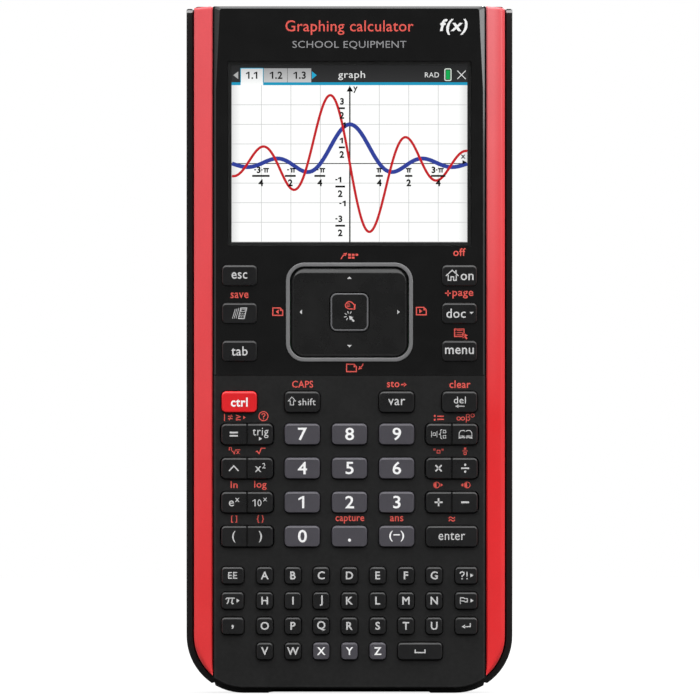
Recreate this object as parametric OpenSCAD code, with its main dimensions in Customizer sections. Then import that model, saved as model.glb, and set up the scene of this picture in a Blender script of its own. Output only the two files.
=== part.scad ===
// Handheld graphing calculator, seated in its slide cover.
// It stands on the closed end of the cover: the keypad faces -Y and the top end points up (+Z).
// The origin is the middle of the footprint, at the foot of the cover.

/* [Case] */
// Width of the handheld across its two side trims
case_w = 85.9; // [85.5:0.1:87]
// Height of the top end of the handheld above the foot of the cover
case_top = 189.3; // [189:0.1:191]
// Gap between the foot of the cover and the bottom end of the handheld
case_foot = 1.85; // [1.8:0.05:2.2]
// Corner radius at the bottom end of the handheld
case_r = 13.9; // [12:0.1:15]
// Depth from the key tops to the back of the cover
overall_depth = 18; // [18:0.1:20]
// Width of each side trim on the face
trim_w = 5.2; // [4.8:0.1:5.4]
// Height at which the glossy fascia meets the lower keypad face
fascia_z = 87.6; // [87.3:0.1:88]

/* [Slide cover] */
// Thickness of the cover
cover_wall = 1.85; // [1.4:0.05:2]
// Running clearance between the cover and the handheld
slide_gap = 0.15; // [0.1:0.05:0.25]
// How far the cover sides reach forward of the middle of the calculator
cover_reach = 4; // [3:0.1:6]
// Height of the top of each inner lip of the cover
lip_top = 91.2; // [60:0.1:95]

/* [Display] */
// Width of the lit area
screen_w = 65; // [60:0.1:65.4]
// Height of the lit area
screen_h = 48.8; // [45:0.1:49.2]
// Height of the middle of the lit area
screen_z = 148.7; // [148:0.1:150]

/* [Touchpad] */
// Outer width of the ring around the touchpad
ring_w = 35; // [34.8:0.1:36]
// Outer height of the ring
ring_h = 27.3; // [27.1:0.1:27.6]
// Width of the band of the ring
ring_band = 1.1; // [0.9:0.1:1.2]
// Height of the middle of the touchpad
pad_z = 105; // [104.8:0.1:105.2]
// Side of the square click button in the middle of the touchpad
click_w = 10.4; // [9:0.1:11]

/* [Keys] */
// How far the keys stand above the face
key_rise = 1; // [0.6:0.1:1.2]
// How far a key travels when it is pressed
key_travel = 0.7; // [0.4:0.1:0.7]
// Gap between a key and its opening
key_gap = 0.3; // [0.25:0.05:0.4]
// Width of a number key
number_w = 9.75; // [9:0.05:10]
// Height of a number key
number_h = 5.85; // [5:0.05:6]
// Side to side distance between number keys
number_pitch = 13; // [12.8:0.1:13.2]
// Distance between rows of number keys
row_pitch = 9.38; // [9.2:0.02:9.4]
// Height of the top row of number keys
number_z = 71.4; // [71:0.1:71.6]
// Height of the row with the control key
ctrl_z = 80.3; // [80:0.1:80.6]
// Distance of the outer single keys from the middle
outer_key_x = 30.35; // [30:0.05:30.6]
// Width of a two-function rocker key
pair_w = 14.3; // [13:0.1:14.4]
// Distance of the rocker keys from the middle
pair_x = 28.2; // [28:0.1:28.4]
// Distance between the three keys beside the touchpad
side_key_pitch = 10.4; // [10:0.1:10.6]
// Width of a letter key
letter_w = 4.54; // [4.2:0.02:4.8]
// Height of a letter key
letter_h = 4.78; // [4.4:0.02:4.8]
// Side to side distance between letter keys
letter_pitch = 7.78; // [7.6:0.02:7.8]
// Distance between rows of letter keys
letter_row_pitch = 6.95; // [6.8:0.05:7]
// Height of the top row of letter keys
letter_z = 32.5; // [32:0.1:33]
// Width of the outer keys of a letter row
edge_key_w = 6.2; // [5.6:0.1:6.4]
// Distance of the outer keys of a letter row from the middle
edge_key_x = 32.17; // [32:0.01:32.4]

/* [Battery] */
// Width of the battery pack
battery_w = 44; // [40:1:46]
// Height of the battery pack
battery_h = 48; // [44:1:52]
// Thickness of the battery pack
battery_t = 5; // [4:0.1:5.1]

/* [Hidden] */
$fn = 64;

// Colours
case_black = [0.13, 0.13, 0.13];
gloss_black = [0.1, 0.1, 0.1];
trim_red = [0.87, 0.22, 0.23];
key_black = [0.12, 0.12, 0.12];
key_grey = [0.28, 0.27, 0.3];
metal_grey = [0.7, 0.7, 0.72];
board_green = [0.05, 0.35, 0.2];

// Small clearances: between glued or stacked pieces, and round a pin or a screw
seat = 0.05;
pin_play = 0.1;

// Levels from the face to the back, along Y
face_y = key_rise - overall_depth / 2;
cover_back_y = overall_depth / 2;
cover_in_y = cover_back_y - cover_wall;
back_y = cover_in_y - slide_gap;
fascia_t = 1;
fascia_back_y = face_y + fascia_t;
face_in_y = face_y + 2;
flange_y = face_in_y + 0.1;
flange_t = 0.7;
flange_back_y = flange_y + flange_t;
nub_y = flange_back_y + key_travel + 0.1;
mat_y = nub_y + 0.4;
mat_back_y = mat_y + 0.6;
pill_t = 0.2;
board_y = mat_back_y + pill_t + 2 * seat;
board_t = 1.2;
board_back_y = board_y + board_t;
board_half = 36;
board_foot = 6;
board_len = 175;
split_y = face_y + 6;
rear_y = split_y + 0.1;
back_t = 1.8;
back_in_y = back_y - back_t;

// Case shell
case_half = case_w / 2;
trim_x = case_half - trim_w;
face_half = trim_x - 0.25;
fascia_half = trim_x - 0.45;
trim_t = 1.2;
trim_side_t = 1.4;
trim_gap = 0.1;
shell_inset = 3;
top_r = 1.2;
far = 300;

// Side groove of the case and the lips of the cover that run in it
groove_depth = 1.1;
groove_back_y = split_y + 2;
lip_out_x = case_half + slide_gap + 0.2;
lip_reach = lip_out_x - case_half + groove_depth - slide_gap;
lip_z = case_foot + case_r;
lip_play = 0.2;
cover_top = case_top - 0.6;
cover_half = case_half + slide_gap + cover_wall;
relief_half = 21;
relief_z = 0.85;
notch_x = 37.5;
notch_z = 2.3;
notch_side = 0.8;

// Display stack
window_margin = 1;
window_edge = 0.1;
ledge = 0.5;
gasket_t = 0.5;
gasket_y = face_in_y + seat;
frame_y = gasket_y + gasket_t + seat;
frame_t = 0.3;
panel_w = screen_w + 6.4;
panel_h = screen_h + 6.6;
panel_y = frame_y + frame_t + seat;
panel_back_y = board_y - 0.1;
frame_wall = 0.5;
frame_w = panel_w + 2 * (frame_wall + pin_play);
frame_h = panel_h + 2 * (frame_wall + pin_play);
flex_w = 22;
flex_t = 0.15;
flex_y = board_y - 1.1;
flex_len = 2.4;

// Touchpad
ring_rise = 0.6;
ring_r = 5.1;
pad_play = 0.36;
pad_w = ring_w - 2 * (ring_band + pad_play);
pad_h = ring_h - 2 * (ring_band + pad_play);
pad_r = ring_r - ring_band - pad_play;
pad_t = 1.2;
pad_y = face_y - 0.2;
pad_back_y = pad_y + pad_t;
well_w = ring_w - 1.5;
well_h = ring_h - 1.5;
well_r = ring_r - 0.75;
pivot_y = face_in_y + 0.9;
pivot_d = 1.1;
gimbal_w = 30.4;
gimbal_h = well_h - 0.9;
gimbal_r = 3;
gimbal_bar_x = 2.4;
gimbal_bar_z = 1.6;
gimbal_half_t = 0.8;
lug_x = well_w / 2 + 0.2;
lug_t = 1.8;
leg_out = gimbal_h / 2 - gimbal_bar_z - 0.3;
leg_t = 1;
leg_w = 3.2;
click_r = 1.7;
click_play = 0.25;
click_flange = 0.6;
click_y = pad_y - 0.1;

// Keys
key_top_y = face_y - key_rise;
cap_step = 0.35;
cap_inset = 0.25;
flange_out = 0.6;
key_r = 1.3;
letter_r = 1.1;
side_key_w = 9.7;
side_key_h = 5.75;
side_key_x = 30.3;
side_key_z = 104.7;
space_w = 12.3;
space_column = 5.5;
tab_w = 2.4;
tab_out = 0.6;
groove_w = 0.35;
cap_groove = 0.6;

// Screws: [x, z]
screw_spots = [
    for (side = [-1, 1], at = [[38.2, 184.5], [38.2, 88.5], [31, 9]]) [side * at[0], at[1]]];
screw_d = 2;
screw_head_d = 4.2;
screw_head_t = 1.5;
screw_sink = 0.5;
boss_d = 4.6;
battery_screw_spots = [[0, 29.5], [0, 90.5]];
battery_screw_len = 5;
lid_boss_d = 5.8;
lid_boss_t = 2.2;
lid_post_d = 8.6;

// Battery bay
battery_z = 60;
bay_gap = 0.5;
bay_wall = 1.2;
rib_y = board_back_y + 1.4;
bay_back_y = back_in_y - 0.1 - bay_gap / 2;
lid_w = 54;
lid_h = 67;
lid_t = 1.05;
lid_gap = 0.15;
lid_ledge = 2.6;

// Sockets and the reset button
usb_w = 7.7;
usb_h = 3.9;
usb_len = 9;
usb_wall = 0.4;
usb_depth = 6;
dock_w = 15;
dock_d = 3;
dock_y = 2.1;
dock_h = 4.5;
dock_gap = 0.15;
contact_count = 5;
reset_x = 24;
reset_z = 104;
reset_d = 2.7;
reset_sink = 0.4;
reset_flange_d = 4.2;

// Positions of the keys, as [x, z]
function number_spot(row, column) = [column * number_pitch, number_z - row * row_pitch];
function side_spot(side, step) = [side * side_key_x, side_key_z + step * side_key_pitch];
function pair_spot(side, row) = [side * pair_x, number_z - row * row_pitch];
function letter_spot(row, column) = [(column - 3) * letter_pitch, letter_z - row * letter_row_pitch];
function edge_spot(side, row) = [side * edge_key_x, letter_z - row * letter_row_pitch];
number_spots = [for (row = [0:3], column = [-1:1]) number_spot(row, column)];
side_spots = [for (side = [-1, 1], step = [-1:1]) side_spot(side, step)];
ctrl_spots = [for (x = [-outer_key_x, -number_pitch, number_pitch, outer_key_x]) [x, ctrl_z]];
left_pair_spots = [for (row = [0:3]) pair_spot(-1, row)];
right_pair_spots = [for (row = [0:2]) pair_spot(1, row)];
pair_spots = concat(left_pair_spots, right_pair_spots);
enter_spot = pair_spot(1, 3);
letter_spots = [
    for (row = [0:3], column = [0:6]) if (row < 3 || column < 5) letter_spot(row, column)];
edge_spots = [for (side = [-1, 1], row = [0:2]) edge_spot(side, row)];
space_spot = letter_spot(3, space_column);
pair_nubs = [for (spot = pair_spots, side = [-1, 1]) spot + [side * pair_w / 4, 0]];
nub_spots = concat(
    number_spots, side_spots, ctrl_spots, pair_nubs, [enter_spot, space_spot],
    letter_spots, edge_spots);

// Flat building shapes, drawn with X across and Z up
module rounded(w, h, r) {
    square([w - 2 * r, h], center = true);
    square([w, h - 2 * r], center = true);
    for (x = [-1, 1], z = [-1, 1]) translate([x * (w / 2 - r), z * (h / 2 - r)]) circle(r);
}

// Plan of the handheld, drawn in by an even inset
module case_plan(inset = 0) {
    half = case_half - inset;
    foot = case_foot + inset;
    top = case_top - inset;
    centre_x = case_half - case_r;
    centre_z = case_foot + case_r;
    r = max(top_r - inset, 0.3);
    translate([-half, centre_z]) square([2 * half, top - r - centre_z]);
    translate([-centre_x, foot]) square([2 * centre_x, top - foot]);
    translate([r - half, centre_z]) square([2 * (half - r), top - centre_z]);
    for (side = [-1, 1]) {
        translate([side * centre_x, centre_z]) circle(case_r - inset);
        translate([side * (half - r), top - r]) circle(r);
    }
}

// Everything nearer to the middle than a half width
module band(half) {
    translate([-half, -far]) square([2 * half, 2 * far]);
}

// Turns a flat shape into a slab between two Y levels
module slab(from_y, to_y) {
    translate([0, to_y, 0]) rotate([90, 0, 0]) linear_extrude(to_y - from_y) children();
}

module post(spot, d, from_y, to_y) {
    translate([spot[0], to_y, spot[1]]) rotate([90, 0, 0]) cylinder(d = d, h = to_y - from_y);
}

module plate(spot, w, h, r, from_y, to_y) {
    slab(from_y, to_y) translate(spot) rounded(w, h, r);
}

module block(spot, w, h, from_y, to_y) {
    slab(from_y, to_y) translate(spot) square([w, h], center = true);
}

// Openings for the keys, through the face
module opening(spot, w, h, r) {
    plate(spot, w + 2 * key_gap, h + 2 * key_gap, r + key_gap, face_y - 1, face_in_y + 1);
}

module side_key_openings() {
    for (spot = side_spots) opening(spot, side_key_w, side_key_h, key_r);
}

module lower_key_openings() {
    for (spot = concat(number_spots, ctrl_spots)) opening(spot, number_w, number_h, key_r);
    for (spot = concat(pair_spots, [enter_spot])) opening(spot, pair_w, number_h, key_r);
    for (spot = letter_spots) opening(spot, letter_w, letter_h, letter_r);
    for (spot = edge_spots) opening(spot, edge_key_w, letter_h, letter_r);
    opening(space_spot, space_w, letter_h, letter_r);
}

// Case
module front_housing() {
    color(case_black) difference() {
        union() {
            difference() {
                union() {
                    slab(face_y, split_y) intersection() {
                        case_plan();
                        band(face_half);
                    }
                    slab(face_y + trim_t + seat, split_y) case_plan(trim_side_t + trim_gap);
                }
                slab(face_in_y, split_y + 1) case_plan(shell_inset);
            }
            for (spot = screw_spots) post(spot, boss_d, face_in_y - 0.2, split_y);
            for (side = [-1, 1])
                block([side * (lug_x + lug_t / 2), pad_z], lug_t, 3.2, face_in_y - 0.2, pivot_y + 0.9);
        }
        slab(face_y - 1, fascia_back_y) translate([-far / 2, fascia_z - seat]) square([far, far]);
        for (spot = screw_spots) post(spot, screw_d + pin_play, face_in_y + 0.6, split_y + 1);
        side_key_openings();
        lower_key_openings();
        plate([0, screen_z], screen_w + 2 * ledge, screen_h + 2 * ledge, 0.5, face_y - 1, face_in_y + 1);
        plate([0, pad_z], well_w, well_h, well_r, face_y - 1, face_in_y + 0.5);
        translate([0, pivot_y, pad_z]) rotate([0, 90, 0])
            cylinder(d = pivot_d + 2 * pin_play, h = 2 * (lug_x + lug_t + 1), center = true);
    }
}

module upper_fascia() {
    window_w = screen_w + 2 * (window_margin + window_edge);
    window_h = screen_h + 2 * (window_margin + window_edge);
    color(gloss_black) difference() {
        slab(face_y, fascia_back_y - seat) intersection() {
            case_plan();
            band(fascia_half);
            translate([-far / 2, fascia_z]) square([far, far]);
        }
        side_key_openings();
        plate([0, screen_z], window_w, window_h, 0.5, face_y - 1, face_in_y);
        plate([0, pad_z], ring_w + 0.2, ring_h + 0.2, ring_r + 0.1, face_y - 1, face_in_y);
    }
}

module side_trim() {
    difference() {
        union() {
            slab(face_y, face_y + trim_t) case_plan();
            slab(face_y, split_y) difference() {
                case_plan();
                case_plan(trim_side_t);
            }
        }
        slab(face_y - 1, split_y + 1) translate([-far, -far]) square([far + trim_x, 2 * far]);
    }
}

module side_trim_left() { color(trim_red) mirror([1, 0, 0]) side_trim(); }
module side_trim_right() { color(trim_red) side_trim(); }

// Ring wall round the battery, and the bosses that the screws pass through
module rear_ribs() {
    bay_w = battery_w + 2 * bay_gap;
    bay_h = battery_h + 2 * bay_gap;
    difference() {
        block([0, battery_z], bay_w + 2 * bay_wall, bay_h + 2 * bay_wall, rib_y, back_in_y + 0.2);
        block([0, battery_z], bay_w, bay_h, board_back_y, back_in_y + 1);
    }
    for (spot = screw_spots) post(spot, boss_d, split_y + 0.1, back_in_y + 0.2);
    for (spot = battery_screw_spots) post(spot, lid_post_d, rib_y, back_in_y + 0.2);
}

module rear_housing() {
    reset_spot = [reset_x, reset_z];
    color(case_black) difference() {
        union() {
            difference() {
                slab(rear_y, back_y) case_plan();
                slab(split_y, back_in_y) case_plan(shell_inset);
            }
            rear_ribs();
        }
        for (side = [-1, 1])
            block([side * (case_half + far / 2 - groove_depth), 0], far, 2 * (lip_top + lip_play),
                split_y, groove_back_y);
        for (spot = screw_spots) {
            post(spot, screw_d + 2 * pin_play, split_y, back_y + 1);
            post(spot, screw_head_d + 2 * pin_play, back_y - screw_sink - screw_head_t - seat, back_y + 1);
        }
        block([0, battery_z], lid_w - 2 * lid_ledge, battery_h + 2 * bay_gap, back_in_y - 0.1, back_y + 1);
        block([0, battery_z], lid_w + 2 * lid_gap, lid_h + 2 * lid_gap, back_y - lid_t - seat, back_y + 1);
        for (spot = battery_screw_spots) {
            post(spot, screw_d + pin_play, back_y - screw_head_t - battery_screw_len, back_y);
            post(spot, lid_boss_d + 2 * lid_gap, back_y - lid_boss_t - seat, back_y + 1);
        }
        post(reset_spot, reset_d + 2 * pin_play, 0, back_y + 1);
        translate([-usb_w / 2 - 0.3, split_y, case_top - shell_inset - 1])
            cube([usb_w + 0.6, board_back_y + usb_h + 0.4 - split_y, far]);
        block([0, 0], dock_w + 2 * dock_gap, 2 * (case_foot + shell_inset + 1),
            dock_y - dock_gap, dock_y + dock_d + dock_gap);
    }
}

module slide_cover() {
    centre_x = case_half - case_r;
    centre_z = case_foot + case_r;
    color(case_black) difference() {
        union() {
            difference() {
                slab(-cover_reach, cover_back_y) {
                    translate([-cover_half, centre_z]) square([2 * cover_half, cover_top - centre_z]);
                    translate([-centre_x, 0]) square([2 * centre_x, cover_top]);
                    for (side = [-1, 1]) translate([side * centre_x, centre_z]) circle(centre_z);
                }
                slab(-cover_reach - 1, cover_in_y) {
                    case_plan(-slide_gap);
                    translate([-case_half - slide_gap, centre_z]) square([case_w + 2 * slide_gap, far]);
                }
            }
            for (side = [-1, 1])
                block([side * (lip_out_x - lip_reach / 2), (lip_z + lip_top) / 2],
                    lip_reach, lip_top - lip_z, split_y + lip_play, groove_back_y - lip_play);
        }
        block([0, 0], 2 * relief_half, 2 * relief_z, -cover_reach - 1, cover_in_y);
        for (side = [-1, 1])
            translate([side * notch_x, 0, notch_z]) rotate([0, 45, 0])
                cube([notch_side, 4 * far, notch_side], center = true);
    }
}

// Display
module display_window() {
    color("lightcyan", 0.4)
        plate([0, screen_z], screen_w + 2 * window_margin, screen_h + 2 * window_margin, 0.4,
            face_y, fascia_back_y - seat);
}

module window_gasket() {
    color("dimgray") difference() {
        block([0, screen_z], frame_w - 1, frame_h - 1, gasket_y, gasket_y + gasket_t);
        block([0, screen_z], screen_w + 2.2, screen_h + 2.2, gasket_y - 1, gasket_y + 1);
    }
}

module lcd_panel() {
    color("gainsboro") block([0, screen_z], panel_w, panel_h, panel_y, panel_back_y);
}

module lcd_frame() {
    foot_z = screen_z - frame_h / 2;
    color(metal_grey) difference() {
        block([0, screen_z], frame_w, frame_h, frame_y, panel_back_y);
        block([0, screen_z], screen_w + 1.4, screen_h + 1.4, frame_y - 1, panel_y);
        block([0, screen_z], frame_w - 2 * frame_wall, frame_h - 2 * frame_wall,
            frame_y + frame_t, panel_back_y + 1);
        block([0, foot_z], flex_w + 1, 2 * frame_wall + 0.4, flex_y - 0.3, panel_back_y + 1);
    }
}

module lcd_flex() {
    top_z = screen_z - panel_h / 2 - seat;
    color("orange") {
        block([0, top_z - flex_len / 2], flex_w, flex_len, flex_y, flex_y + flex_t);
        block([0, top_z - flex_len + flex_t / 2], flex_w, flex_t, flex_y, board_y - seat);
    }
}

// Electronics
module main_board() {
    chip_y = board_back_y - seat;
    color(board_green) difference() {
        union() {
            slab(board_y, board_back_y) intersection() {
                translate([-board_half, board_foot]) square([2 * board_half, board_len]);
                case_plan(shell_inset + 0.3);
            }
            block([-14, 140], 16, 16, chip_y, board_back_y + 1.2);
            block([12, 146], 12, 10, chip_y, board_back_y + 1.1);
            block([10, 122], 9, 9, chip_y, board_back_y + 0.9);
            for (step = [0:3]) block([-22 + 5 * step, 112], 3, 1.6, chip_y, board_back_y + 0.8);
        }
        for (spot = screw_spots) post(spot, boss_d + 1, board_y - 1, board_back_y + 1);
    }
}

module usb_port() {
    mouth_z = case_top - 0.2;
    color(metal_grey) difference() {
        translate([-usb_w / 2, board_back_y + seat, mouth_z - usb_len]) cube([usb_w, usb_h, usb_len]);
        difference() {
            translate([usb_wall - usb_w / 2, board_back_y + seat + usb_wall, mouth_z - usb_depth])
                cube([usb_w - 2 * usb_wall, usb_h - 2 * usb_wall, usb_depth + 1]);
            translate([-2.4, board_back_y + 1.6, mouth_z - usb_len]) cube([4.8, 0.8, usb_len - 1]);
        }
    }
}

module dock_connector() {
    pitch = dock_w / (contact_count + 1);
    color("darkgoldenrod") difference() {
        translate([-dock_w / 2, dock_y, case_foot + 0.3]) cube([dock_w, dock_d, dock_h]);
        for (step = [1:contact_count])
            translate([step * pitch - dock_w / 2, dock_y + dock_d / 2, 0])
                cylinder(d = 1.2, h = case_foot + 1.2);
    }
}

module keypad_mat() {
    arm_x = 23.6;
    arm_top = side_key_z + side_key_pitch + 4;
    mat_half = 37;
    color("slategray") difference() {
        union() {
            slab(mat_y, mat_back_y) {
                translate([-mat_half, 5.5]) square([2 * mat_half, 80.5]);
                for (side = [-1, 1])
                    translate([side * (arm_x + mat_half) / 2, arm_top - 20])
                        square([mat_half - arm_x, 40], center = true);
            }
            for (spot = nub_spots) post(spot, 3, nub_y, mat_y + seat);
        }
        for (spot = screw_spots) post(spot, boss_d + 1, mat_y - 1, mat_back_y + 1);
        slab(mat_y - 1, mat_back_y + 1) difference() {
            band(far);
            case_plan(shell_inset + 0.5);
        }
    }
}

module carbon_pills() {
    color("black") for (spot = nub_spots) post(spot, 3, mat_back_y + seat, mat_back_y + seat + pill_t);
}

// Touchpad
module touchpad_ring() {
    color("gray") difference() {
        plate([0, pad_z], ring_w, ring_h, ring_r, face_y - ring_rise, fascia_back_y - seat);
        plate([0, pad_z], ring_w - 2 * ring_band, ring_h - 2 * ring_band, ring_r - ring_band,
            face_y - ring_rise - 1, face_in_y);
    }
}

// Frame that tilts up and down, on pins held by the front housing
module touchpad_gimbal() {
    bar_mid = gimbal_h / 2 - gimbal_bar_z / 2;
    color("dimgray") difference() {
        union() {
            difference() {
                plate([0, pad_z], gimbal_w, gimbal_h, gimbal_r,
                    pivot_y - gimbal_half_t, pivot_y + gimbal_half_t);
                block([0, pad_z], gimbal_w - 2 * gimbal_bar_x, gimbal_h - 2 * gimbal_bar_z,
                    pivot_y - 2, pivot_y + 2);
            }
            for (side = [-1, 1])
                translate([side * (gimbal_w / 2 - 0.1), pivot_y, pad_z]) rotate([0, side * 90, 0])
                    cylinder(d = pivot_d, h = lug_x + lug_t - gimbal_w / 2 - 0.2);
        }
        for (side = [-1, 1])
            translate([0, pivot_y, pad_z + side * bar_mid])
                cylinder(d = pivot_d + 2 * pin_play, h = gimbal_bar_z + 1, center = true);
    }
}

// Pad that tilts left and right, on pins held by the gimbal
module touchpad() {
    color(key_black) {
        difference() {
            plate([0, pad_z], pad_w, pad_h, pad_r, pad_y, pad_back_y);
            plate([0, pad_z], click_w + 2 * click_play, click_w + 2 * click_play, click_r + click_play,
                pad_y - 1, pad_back_y + 1);
        }
        for (side = [-1, 1]) {
            block([0, pad_z + side * (leg_out - leg_t / 2)], leg_w, leg_t, pad_back_y - 0.1, pivot_y + 0.6);
            translate([0, pivot_y, pad_z + side * (leg_out - 0.1)]) rotate([90 - side * 90, 0, 0])
                cylinder(d = pivot_d, h = gimbal_bar_z + 0.1);
        }
    }
}

module click_button() {
    wide = click_w + 2 * click_flange;
    color(key_black) {
        plate([0, pad_z], click_w, click_w, click_r, click_y, pad_back_y + 0.2);
        plate([0, pad_z], wide, wide, click_r + click_flange, pad_back_y + 0.15, pad_back_y + 0.7);
    }
}

// Power and fasteners
module battery_pack() {
    color("royalblue")
        block([0, battery_z], battery_w, battery_h, bay_back_y - battery_t, bay_back_y);
}

// Plug on the board and two wires that run to the battery
module battery_lead() {
    plug_z = battery_z + battery_h / 2 + 11;
    wire_y = board_back_y + 1.9;
    color("firebrick") {
        block([9, plug_z], 5, 4, board_back_y + seat, board_back_y + 3.2);
        for (side = [-1, 1])
            translate([9 + side * 1.2, wire_y, battery_z + battery_h / 2 + bay_gap + bay_wall + 0.3])
                cylinder(d = 1, h = 11 - bay_gap - bay_wall - 2);
    }
}

module battery_cover() {
    color(case_black) difference() {
        union() {
            block([0, battery_z], lid_w, lid_h, back_y - lid_t, back_y);
            for (spot = battery_screw_spots) post(spot, lid_boss_d, back_y - lid_boss_t, back_y - 0.1);
        }
        for (spot = battery_screw_spots) {
            post(spot, screw_d + 2 * pin_play, back_y - lid_boss_t - 1, back_y + 1);
            post(spot, screw_head_d + 2 * pin_play, back_y - screw_head_t - seat, back_y + 1);
        }
    }
}

// Cross-head screw, driven in from the back
module screw(spot, length, sink) {
    head_y = back_y - sink;
    difference() {
        union() {
            post(spot, screw_head_d, head_y - screw_head_t, head_y);
            post(spot, screw_d, head_y - screw_head_t - length, head_y - screw_head_t + 0.1);
        }
        block(spot, 2.4, 0.6, head_y - 0.7, head_y + 1);
        block(spot, 0.6, 2.4, head_y - 0.7, head_y + 1);
    }
}

module housing_screws() {
    length = back_y - screw_sink - screw_head_t - face_in_y - 0.8;
    color(metal_grey) for (spot = screw_spots) screw(spot, length, screw_sink);
}

module battery_screws() {
    color(metal_grey) for (spot = battery_screw_spots) screw(spot, battery_screw_len - 0.3, 0);
}

module reset_button() {
    reset_spot = [reset_x, reset_z];
    color("dimgray") {
        post(reset_spot, reset_d, back_in_y - 0.4, back_y - reset_sink);
        post(reset_spot, reset_flange_d, back_in_y - 0.8, back_in_y - 0.1);
    }
}

// Keys: a cap with a stepped top edge and a flange that keeps it in the case
module key(spot, w, h, r) {
    plate(spot, w - 2 * cap_inset, h - 2 * cap_inset, r - cap_inset, key_top_y, key_top_y + cap_step + 0.1);
    plate(spot, w, h, r, key_top_y + cap_step, flange_y + 0.1);
    plate(spot, w + 2 * flange_out, h + 2 * flange_out, r + flange_out, flange_y, flange_back_y);
}

// Two-function key that rocks about its middle, held by a tab above and below
module rocker_key(spot) {
    difference() {
        union() {
            plate(spot, pair_w - 2 * cap_inset, number_h - 2 * cap_inset, key_r - cap_inset,
                key_top_y, key_top_y + cap_step + 0.1);
            plate(spot, pair_w, number_h, key_r, key_top_y + cap_step, flange_back_y - 0.2);
            block(spot, tab_w, number_h + 2 * tab_out, flange_y + 0.05, flange_back_y);
        }
        block(spot, groove_w, number_h + 1, key_top_y - 1, key_top_y + cap_groove);
    }
}

module single_key(spot) { key(spot, number_w, number_h, key_r); }
module side_key(side, step) { key(side_spot(side, step), side_key_w, side_key_h, key_r); }
module number_key(row, column) { single_key(number_spot(row, column)); }
module left_pair(row) { rocker_key(pair_spot(-1, row)); }
module right_pair(row) { rocker_key(pair_spot(1, row)); }

module letter_keys(row, last) {
    for (column = [0:last]) key(letter_spot(row, column), letter_w, letter_h, letter_r);
}

module edge_keys(row) {
    for (side = [-1, 1]) key(edge_spot(side, row), edge_key_w, letter_h, letter_r);
}

module key_esc() { color(key_black) side_key(-1, 1); }
module key_notes() { color(key_black) side_key(-1, 0); }
module key_tab() { color(key_black) side_key(-1, -1); }
module key_on() { color(key_black) side_key(1, 1); }
module key_doc() { color(key_black) side_key(1, 0); }
module key_menu() { color(key_black) side_key(1, -1); }
module key_ctrl() { color(trim_red) single_key(ctrl_spots[0]); }
module key_shift() { color(key_black) single_key(ctrl_spots[1]); }
module key_var() { color(key_black) single_key(ctrl_spots[2]); }
module key_del() { color(key_black) single_key(ctrl_spots[3]); }
module key_7() { color(key_grey) number_key(0, -1); }
module key_8() { color(key_grey) number_key(0, 0); }
module key_9() { color(key_grey) number_key(0, 1); }
module key_4() { color(key_grey) number_key(1, -1); }
module key_5() { color(key_grey) number_key(1, 0); }
module key_6() { color(key_grey) number_key(1, 1); }
module key_1() { color(key_grey) number_key(2, -1); }
module key_2() { color(key_grey) number_key(2, 0); }
module key_3() { color(key_grey) number_key(2, 1); }
module key_0() { color(key_grey) number_key(3, -1); }
module key_point() { color(key_grey) number_key(3, 0); }
module key_negate() { color(key_grey) number_key(3, 1); }
module key_enter() { color(key_black) key(enter_spot, pair_w, number_h, key_r); }
module key_equals_trig() { color(key_black) left_pair(0); }
module key_power_square() { color(key_black) left_pair(1); }
module key_exponents() { color(key_black) left_pair(2); }
module key_brackets() { color(key_black) left_pair(3); }
module key_template_catalog() { color(key_black) right_pair(0); }
module key_times_divide() { color(key_black) right_pair(1); }
module key_plus_minus() { color(key_black) right_pair(2); }

module letter_row_1() {
    color(key_black) {
        letter_keys(0, 6);
        edge_keys(0);
    }
}

module letter_row_2() {
    color(key_black) {
        letter_keys(1, 6);
        edge_keys(1);
    }
}

module letter_row_3() {
    color(key_black) {
        letter_keys(2, 6);
        edge_keys(2);
    }
}

module letter_row_4() {
    color(key_black) {
        letter_keys(3, 4);
        key(space_spot, space_w, letter_h, letter_r);
    }
}

front_housing();
upper_fascia();
side_trim_left();
side_trim_right();
display_window();
window_gasket();
lcd_panel();
lcd_frame();
lcd_flex();
main_board();
usb_port();
dock_connector();
keypad_mat();
carbon_pills();
touchpad_ring();
touchpad_gimbal();
touchpad();
click_button();
battery_pack();
battery_lead();
battery_cover();
battery_screws();
rear_housing();
housing_screws();
reset_button();
slide_cover();
key_esc();
key_notes();
key_tab();
key_on();
key_doc();
key_menu();
key_ctrl();
key_shift();
key_var();
key_del();
key_7();
key_8();
key_9();
key_4();
key_5();
key_6();
key_1();
key_2();
key_3();
key_0();
key_point();
key_negate();
key_enter();
key_equals_trig();
key_power_square();
key_exponents();
key_brackets();
key_template_catalog();
key_times_divide();
key_plus_minus();
letter_row_1();
letter_row_2();
letter_row_3();
letter_row_4();
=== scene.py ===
"""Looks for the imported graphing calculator: bevelled pieces, printed signs, a lit screen and a plain studio."""
import math
import re

import bmesh
import bpy
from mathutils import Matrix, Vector
from mathutils.geometry import tessellate_polygon


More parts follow.
